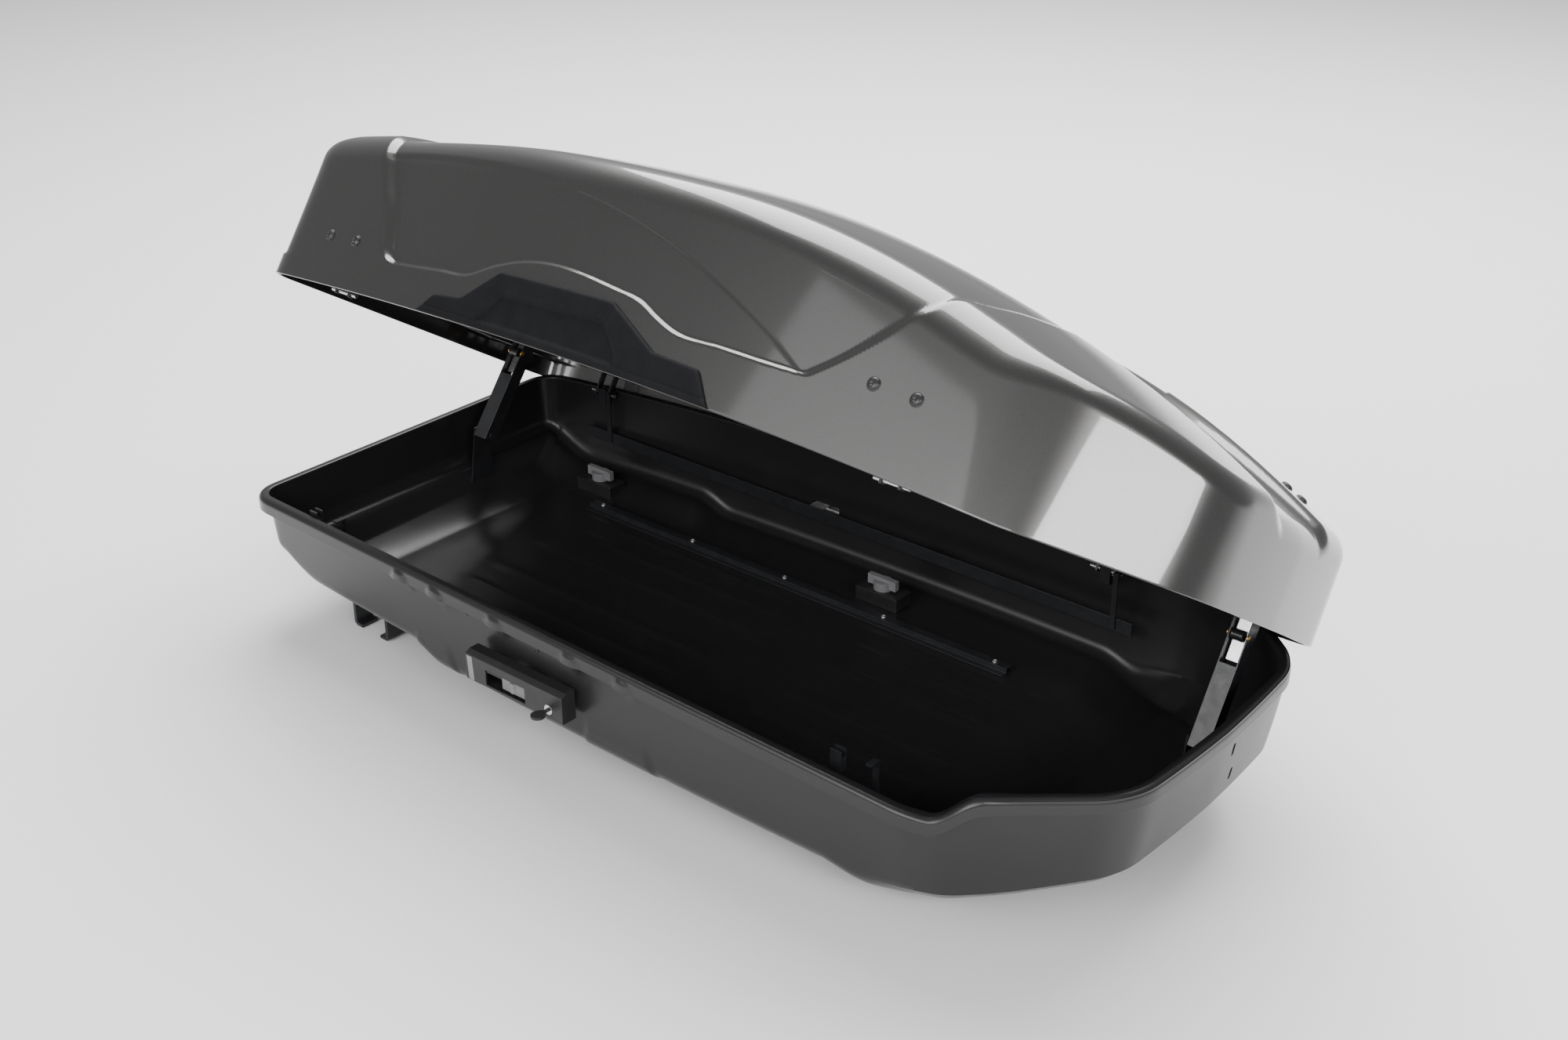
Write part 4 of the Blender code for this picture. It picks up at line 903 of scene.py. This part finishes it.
def base_sheet():
    """The tray as one closed skin: outer face, rim and inner face."""
    points, normals = rim_half(BASE_STATIONS)
    tail = np.clip(normals[:, 0], 0.0, 1.0) ** 2
    inset = BASE_INSET + (REAR_INSET - BASE_INSET) * tail
    middle = spine(points)
    points = points + normals * inset[:, None]
    x = points[:, 0]
    rim, width = rim_z(x), lip_width(x)

    def at(depth_in, level):
        return np.column_stack([points + normals * np.broadcast_to(depth_in, x.shape)[:, None],
                                np.broadcast_to(level, x.shape)])

    nose = ramp(x, 0.58, 0.72)
    roll, skin, edge = NOSE_ROLL * nose, np.minimum(SHEET, 0.4 * width), 0.1 * width
    outer_round = LIP_ROUND + (NOSE_LIP_ROUND - LIP_ROUND) * nose
    inner_round = LIP_INNER_ROUND + (NOSE_INNER_ROUND - LIP_INNER_ROUND) * nose
    lip = [at(wall_inset(x, rim - LIP_HEIGHT * share), rim - LIP_HEIGHT * share) for share in (1.0, 0.7, 0.4)]
    lip += [at(width, rim - SHEET - 0.001), at(width - edge, rim - SHEET), at(skin + edge, rim - SHEET),
            at(skin, rim - SHEET - 0.002)]
    lip += [at(skin, rim - LIP_HEIGHT * share) for share in (0.4, 0.7, 0.97)]
    lip += [at(skin * 0.75, rim - LIP_HEIGHT), at(skin * 0.25, rim - LIP_HEIGHT)]
    lip += [at(0.0, rim - LIP_HEIGHT * share) for share in (0.97, 0.88, 0.79, 0.7, 0.61, 0.54, 0.49)]
    lip += [at(outer_round * (1 - math.cos(a)), rim - outer_round * (1 - math.sin(a)))
            for a in np.linspace(0.0, math.pi / 2, 12)]
    inside = width + SHEET + roll
    lip += [at(inside - inner_round * (1 - math.sin(a)), rim - inner_round * (1 - math.cos(a)))
            for a in np.linspace(0.0, math.pi / 2, 8)]
    outer = np.stack(section(points, normals, middle, 0.0), axis=1)
    inner = np.stack(section(points, normals, middle, SHEET)[::-1], axis=1)
    deep = rim_z(inner[:, :, 0]) - inner[:, :, 2]
    inner[:, :, :2] += normals[:, None, :] * (roll[:, None] * (1.0 - ramp(deep, 0.004, 0.050)))[:, :, None]
    lip = np.stack(lip, axis=1)
    outward = -np.column_stack([normals, np.zeros(len(x))])[:, None, :]
    side = (1.0 - np.clip(np.abs(normals[:, 0]), 0.0, 1.0))[:, None]
    for part, bare in ((outer, False), (lip, True)):
        px, pz = part[:, :, 0], part[:, :, 2]
        below = rim_z(px) - pz
        bulge = boss_height(px, below) * ramp(below, 0.006, 0.012) * side
        if not bare:
            bulge = bulge + wall_patches(px, pz) * side * ramp(np.abs(part[:, :, 1]), 0.27, 0.32)
        part += outward * bulge[:, :, None]
    sheet = np.concatenate([outer, lip, inner], axis=1)
    sheet[0, :, 1] = sheet[-1, :, 1] = 0.0
    sheet[:, 0, 1] = sheet[:, -1, 1] = 0.0
    faces = grid_faces(*sheet.shape[:2])
    return welded_mesh("base_shell", *both_sides(sheet.reshape(-1, 3), faces, np.zeros(len(faces), int)))


def base_shell():
    """The tray with the openings for the slider arms, the clamps and the nose's two slots."""
    cutters = []
    for side, sign in (("near", -1.0), ("far", 1.0)):
        low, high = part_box(f"{side}_lock_slider")
        arm_low, arm_high = low.x + SLIDER_FOOT, high.x - SLIDER_FOOT
        shift = sign * LATCH_TRAVEL
        left = min(arm_low, arm_low + shift) - SLIDER_PLAY
        right = max(arm_high, arm_high + shift) + SLIDER_PLAY
        inner, outer = sorted(sign * y for y in SLIDER_SLOT_Y)
        low_z, high_z = SLIDER_SLOT_Z
        cutters.append(box((left, inner, low_z), (right, outer, high_z), SLIDER_SLOT_ROUND))
    half_x, half_y = CLAMP_SLOT_HALF
    low_z, high_z = CLAMP_SLOT_Z
    for end in ("rear", "front"):
        for side in ("near", "far"):
            low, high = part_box(f"{side}_{end}_clamp_knob")
            x, y = (low.x + high.x) / 2, (low.y + high.y) / 2
            corner, opposite = (x - half_x, y - half_y, low_z), (x + half_x, y + half_y, high_z)
            cutters.append(box(corner, opposite, CLAMP_SLOT_ROUND))
    half_y, half_z = NOSE_SLOT_HALF
    for y, z in NOSE_SLOTS:
        corner, opposite = (NOSE_X - 0.12, y - half_y, z - half_z), (NOSE_X + 0.02, y + half_y, z + half_z)
        cutters.append(box(corner, opposite, NOSE_SLOT_ROUND))
    return smooth(cut_from(base_sheet(), cutters), 32.0)


# ---------------------------------------------------------------- small pieces

WALL_SCREWS = ((-0.600, 0.034), (-0.266, 0.041), (-0.104, 0.046), (0.300, 0.036), (0.520, 0.036))  # x, depth
RAIL_SHARES = (0.03, 0.27, 0.5, 0.73, 0.97)


def base_wall(x, depth):
    """A point of the base's near wall, a depth below the rim, and the way it faces."""
    level = float(rim_z(x)) - depth
    draft = math.radians(BASE_DRAFT)
    y = -float(side_y(x)) + BASE_INSET + float(wall_inset(x, level))
    return Vector((x, y, level)), Vector((0.0, -math.cos(draft), -math.sin(draft)))


def wall_screws():
    """Screws of the latch guides through both long walls."""
    heads = []
    for x, depth in WALL_SCREWS:
        head = screw(*base_wall(x, depth))
        heads += [head, mirrored(head)]
    return joined(heads)


def rail_screws():
    """Screws that hold the two floor rails down."""
    heads = []
    for side in ("near", "far"):
        low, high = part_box(f"{side}_floor_rail")
        for share in RAIL_SHARES:
            place = Vector((low.x + (high.x - low.x) * share, (low.y + high.y) / 2, high.z))
            heads.append(screw(place, (0.0, 0.0, 1.0), RAIL_SCREW_RADIUS))
    return joined(heads)


def lock_markers():
    """The light strip at the end of each lock's face, which shows how far the slider has gone."""
    strips = []
    for name, side in (("near", -1.0), ("far", 1.0)):
        low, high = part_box(f"{name}_lock_housing")
        face = low.y if side < 0 else high.y
        near, far = sorted((face + side * 0.0007, face - side * 0.0010))
        strip = box((low.x + 0.0035, near, low.z + 0.0030), (low.x + 0.0150, far, high.z - 0.0070), 0.0006)
        for vertex in strip.vertices:
            vertex.co.x += 0.0040 * (high.z - vertex.co.z) / (high.z - low.z)
        strips.append(strip)
    return joined(strips)


def arm_place(name, across, out, along):
    """A point on a lifter's arm: along it, out of its open face and across it."""
    pivot = next(j for j in frame["joints"] if j["name"] == f"{name}_arm_hinge")["pos_m"]
    way = Vector(next(j for j in frame["joints"] if j["name"] == f"{name}_slider_slide")["axis"])
    way = way if way.z > 0 else -way
    low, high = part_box(f"{name}_lifter_arm")
    start = Vector(((low.x + high.x) / 2 + across, pivot[1], pivot[2]))
    return start + way * along + Vector((0, -way.z, way.y)) * out


def arm_roller(name):
    """The roller that guides the bar between the fork's cheeks."""
    half, r = ROLLER_HALF, ROLLER_RADIUS
    lower = [(0.0, -half), (r * 0.86, -half), (r, -half + 0.001), (r, -0.0035), (r * 0.94, -0.003)]
    profile = lower + [(radius, -level) for radius, level in reversed(lower)]
    return turned(profile, arm_place(name, 0.0, ROLLER_OUT, ROLLER_ALONG), (1.0, 0.0, 0.0))


def arm_screws(name):
    """The brass heads of the roller's axle, on both cheeks."""
    heads = []
    r = AXLE_HEAD_RADIUS
    profile = [(0.0, 0.0010), (r * 0.30, 0.0010), (r * 0.34, 0.0019), (r * 0.80, 0.0018), (r, 0.0008),
               (r, -0.0004), (0.0, -0.0004)]
    for side in (-1.0, 1.0):
        place = arm_place(name, side * CHANNEL_HALF, ROLLER_OUT, ROLLER_ALONG)
        heads.append(turned(profile[::-1], place, (side, 0.0, 0.0), 28))
    return joined(heads)


def add_small_pieces():
    piece("wall_screws", smooth(wall_screws()), "base", "steel_black", FINISHES["lock_black"])
    piece("rail_screws", smooth(rail_screws()), "base", "steel_bright", FINISHES["steel_bright"])
    piece("lock_markers", smooth(lock_markers()), "base", "handle_grey", FINISHES["marker"])
    for name in ("front", "rear"):
        piece(f"{name}_arm_roller", arm_roller(name), f"{name}_arm", "key_black", FINISHES["roller"])
        piece(f"{name}_arm_screws", smooth(arm_screws(name)), f"{name}_arm", "chrome", FINISHES["brass"])


# ---------------------------------------------------------------- carried-over CAD nodes


BEVELS = {"lid_pivot": 0.0008, "pivot_cup": 0.0010, "latch_bar": 0.0008, "latch_hook": 0.0006,
          "hinge_pin": 0.0006, "lock_housing": 0.0016, "lock_slider": 0.0007, "lock_cylinder": 0.0004,
          "key": 0.0009, "arm": 0.0007, "lifter_slider": 0.0008, "base_bracket": 0.0006,
          "lid_bracket": 0.0006, "rail": 0.0006, "clamp_body": 0.0020, "clamp_knob": 0.0018,
          "clamp_claw": 0.0016}  # by how a node's name ends; a spring has none


def soften(obj, width):
    """Rounds a CAD node's edges with modifiers and gives it smooth normals."""
    weld = obj.modifiers.new("weld", "WELD")
    weld.merge_threshold = 0.00001
    if width:
        bevel = obj.modifiers.new("bevel", "BEVEL")
        bevel.width, bevel.segments, bevel.limit_method = width, 3, "ANGLE"
        bevel.angle_limit = math.radians(35.0)
        bevel.harden_normals = True


def finish_cad_nodes():
    """Every CAD node that still shows gets its finish, and its edges are rounded."""
    slots = {entry["node"]: entry["material_slot"] for entry in frame["record"]["subparts"]}
    for name, obj in frame["nodes"].items():
        if obj.hide_render:
            continue
        obj.data.materials.clear()
        obj.data.materials.append(FINISHES[slots[name]])
        soften(obj, next((width for ending, width in BEVELS.items() if name.endswith(ending)), 0.0))


# ---------------------------------------------------------------- stage and lights

FLOOR_HALF, FLOOR_DROP = 14.0, 0.0005
WORLD_STRENGTH = 0.42


def add_floor():
    finish = Finish("stage_white", (0.82, 0.82, 0.82), 0.8)
    finish.tint(finish.noise(2.0), 0.99, 1.0)
    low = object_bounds()[0].z - FLOOR_DROP
    mesh = bpy.data.meshes.new("stage")
    corners = [(x * FLOOR_HALF, y * FLOOR_HALF, low) for x, y in ((-1, -1), (1, -1), (1, 1), (-1, 1))]
    mesh.from_pydata(corners, [], [(0, 1, 2, 3)])
    mesh.materials.append(finish.material)
    floor = bpy.data.objects.new("stage_floor", mesh)
    bpy.context.scene.collection.objects.link(floor)


def add_light(name, place, aim, size, power):
    data = bpy.data.lights.new(name, "AREA")
    data.shape = "RECTANGLE"
    data.size, data.size_y = size
    data.energy = power
    light = bpy.data.objects.new(name, data)
    light.location = place
    light.rotation_mode = "QUATERNION"
    light.rotation_quaternion = (Vector(aim) - Vector(place)).to_track_quat("-Z", "Y")
    bpy.context.scene.collection.objects.link(light)


def add_lights():
    world = bpy.data.worlds.new("studio")
    bpy.context.scene.world = world
    world.use_nodes = True
    background = world.node_tree.nodes["Background"]
    background.inputs["Color"].default_value = (1.0, 1.0, 1.0, 1.0)
    background.inputs["Strength"].default_value = WORLD_STRENGTH
    add_light("overhead", (-1.0, 2.6, 4.4), (0.0, 0.1, 0.2), (5.6, 4.0), 760.0)
    add_light("nose_box", (2.95, -1.50, 1.70), (0.75, -0.33, 0.36), (1.5, 0.62), 66.0)
    add_light("front_fill", (0.6, -4.4, 2.5), (0.4, -0.3, 0.4), (4.2, 1.8), 150.0)
    add_light("side_box", (-1.15, -3.6, 2.7), (0.3, -0.4, 0.5), (2.9, 1.8), 36.0)


# ---------------------------------------------------------------- assembly


def add_lid():
    piece("lid", lid_shell(), "lid", "lid_grey", FINISHES["lid_grey"], FINISHES["lid_lining"],
          stands_for=["lid_shell"])
    trim = side_trim()
    for side, mesh in (("near", trim), ("far", mirrored(trim))):
        piece(f"{side}_trim", on_lid(mesh.copy()), "lid", "trim_black", FINISHES["trim_black"],
              stands_for=[f"{side}_side_trim"])
    piece("lid_rivets", lid_rivets(), "lid", "trim_black", FINISHES["lock_black"])


def add_base():
    piece("base", base_shell(), "base", "shell_black", FINISHES["shell_black"], stands_for=["base_shell"])


add_camera()
add_lid()
add_base()
add_small_pieces()
finish_cad_nodes()
add_floor()
add_lights()
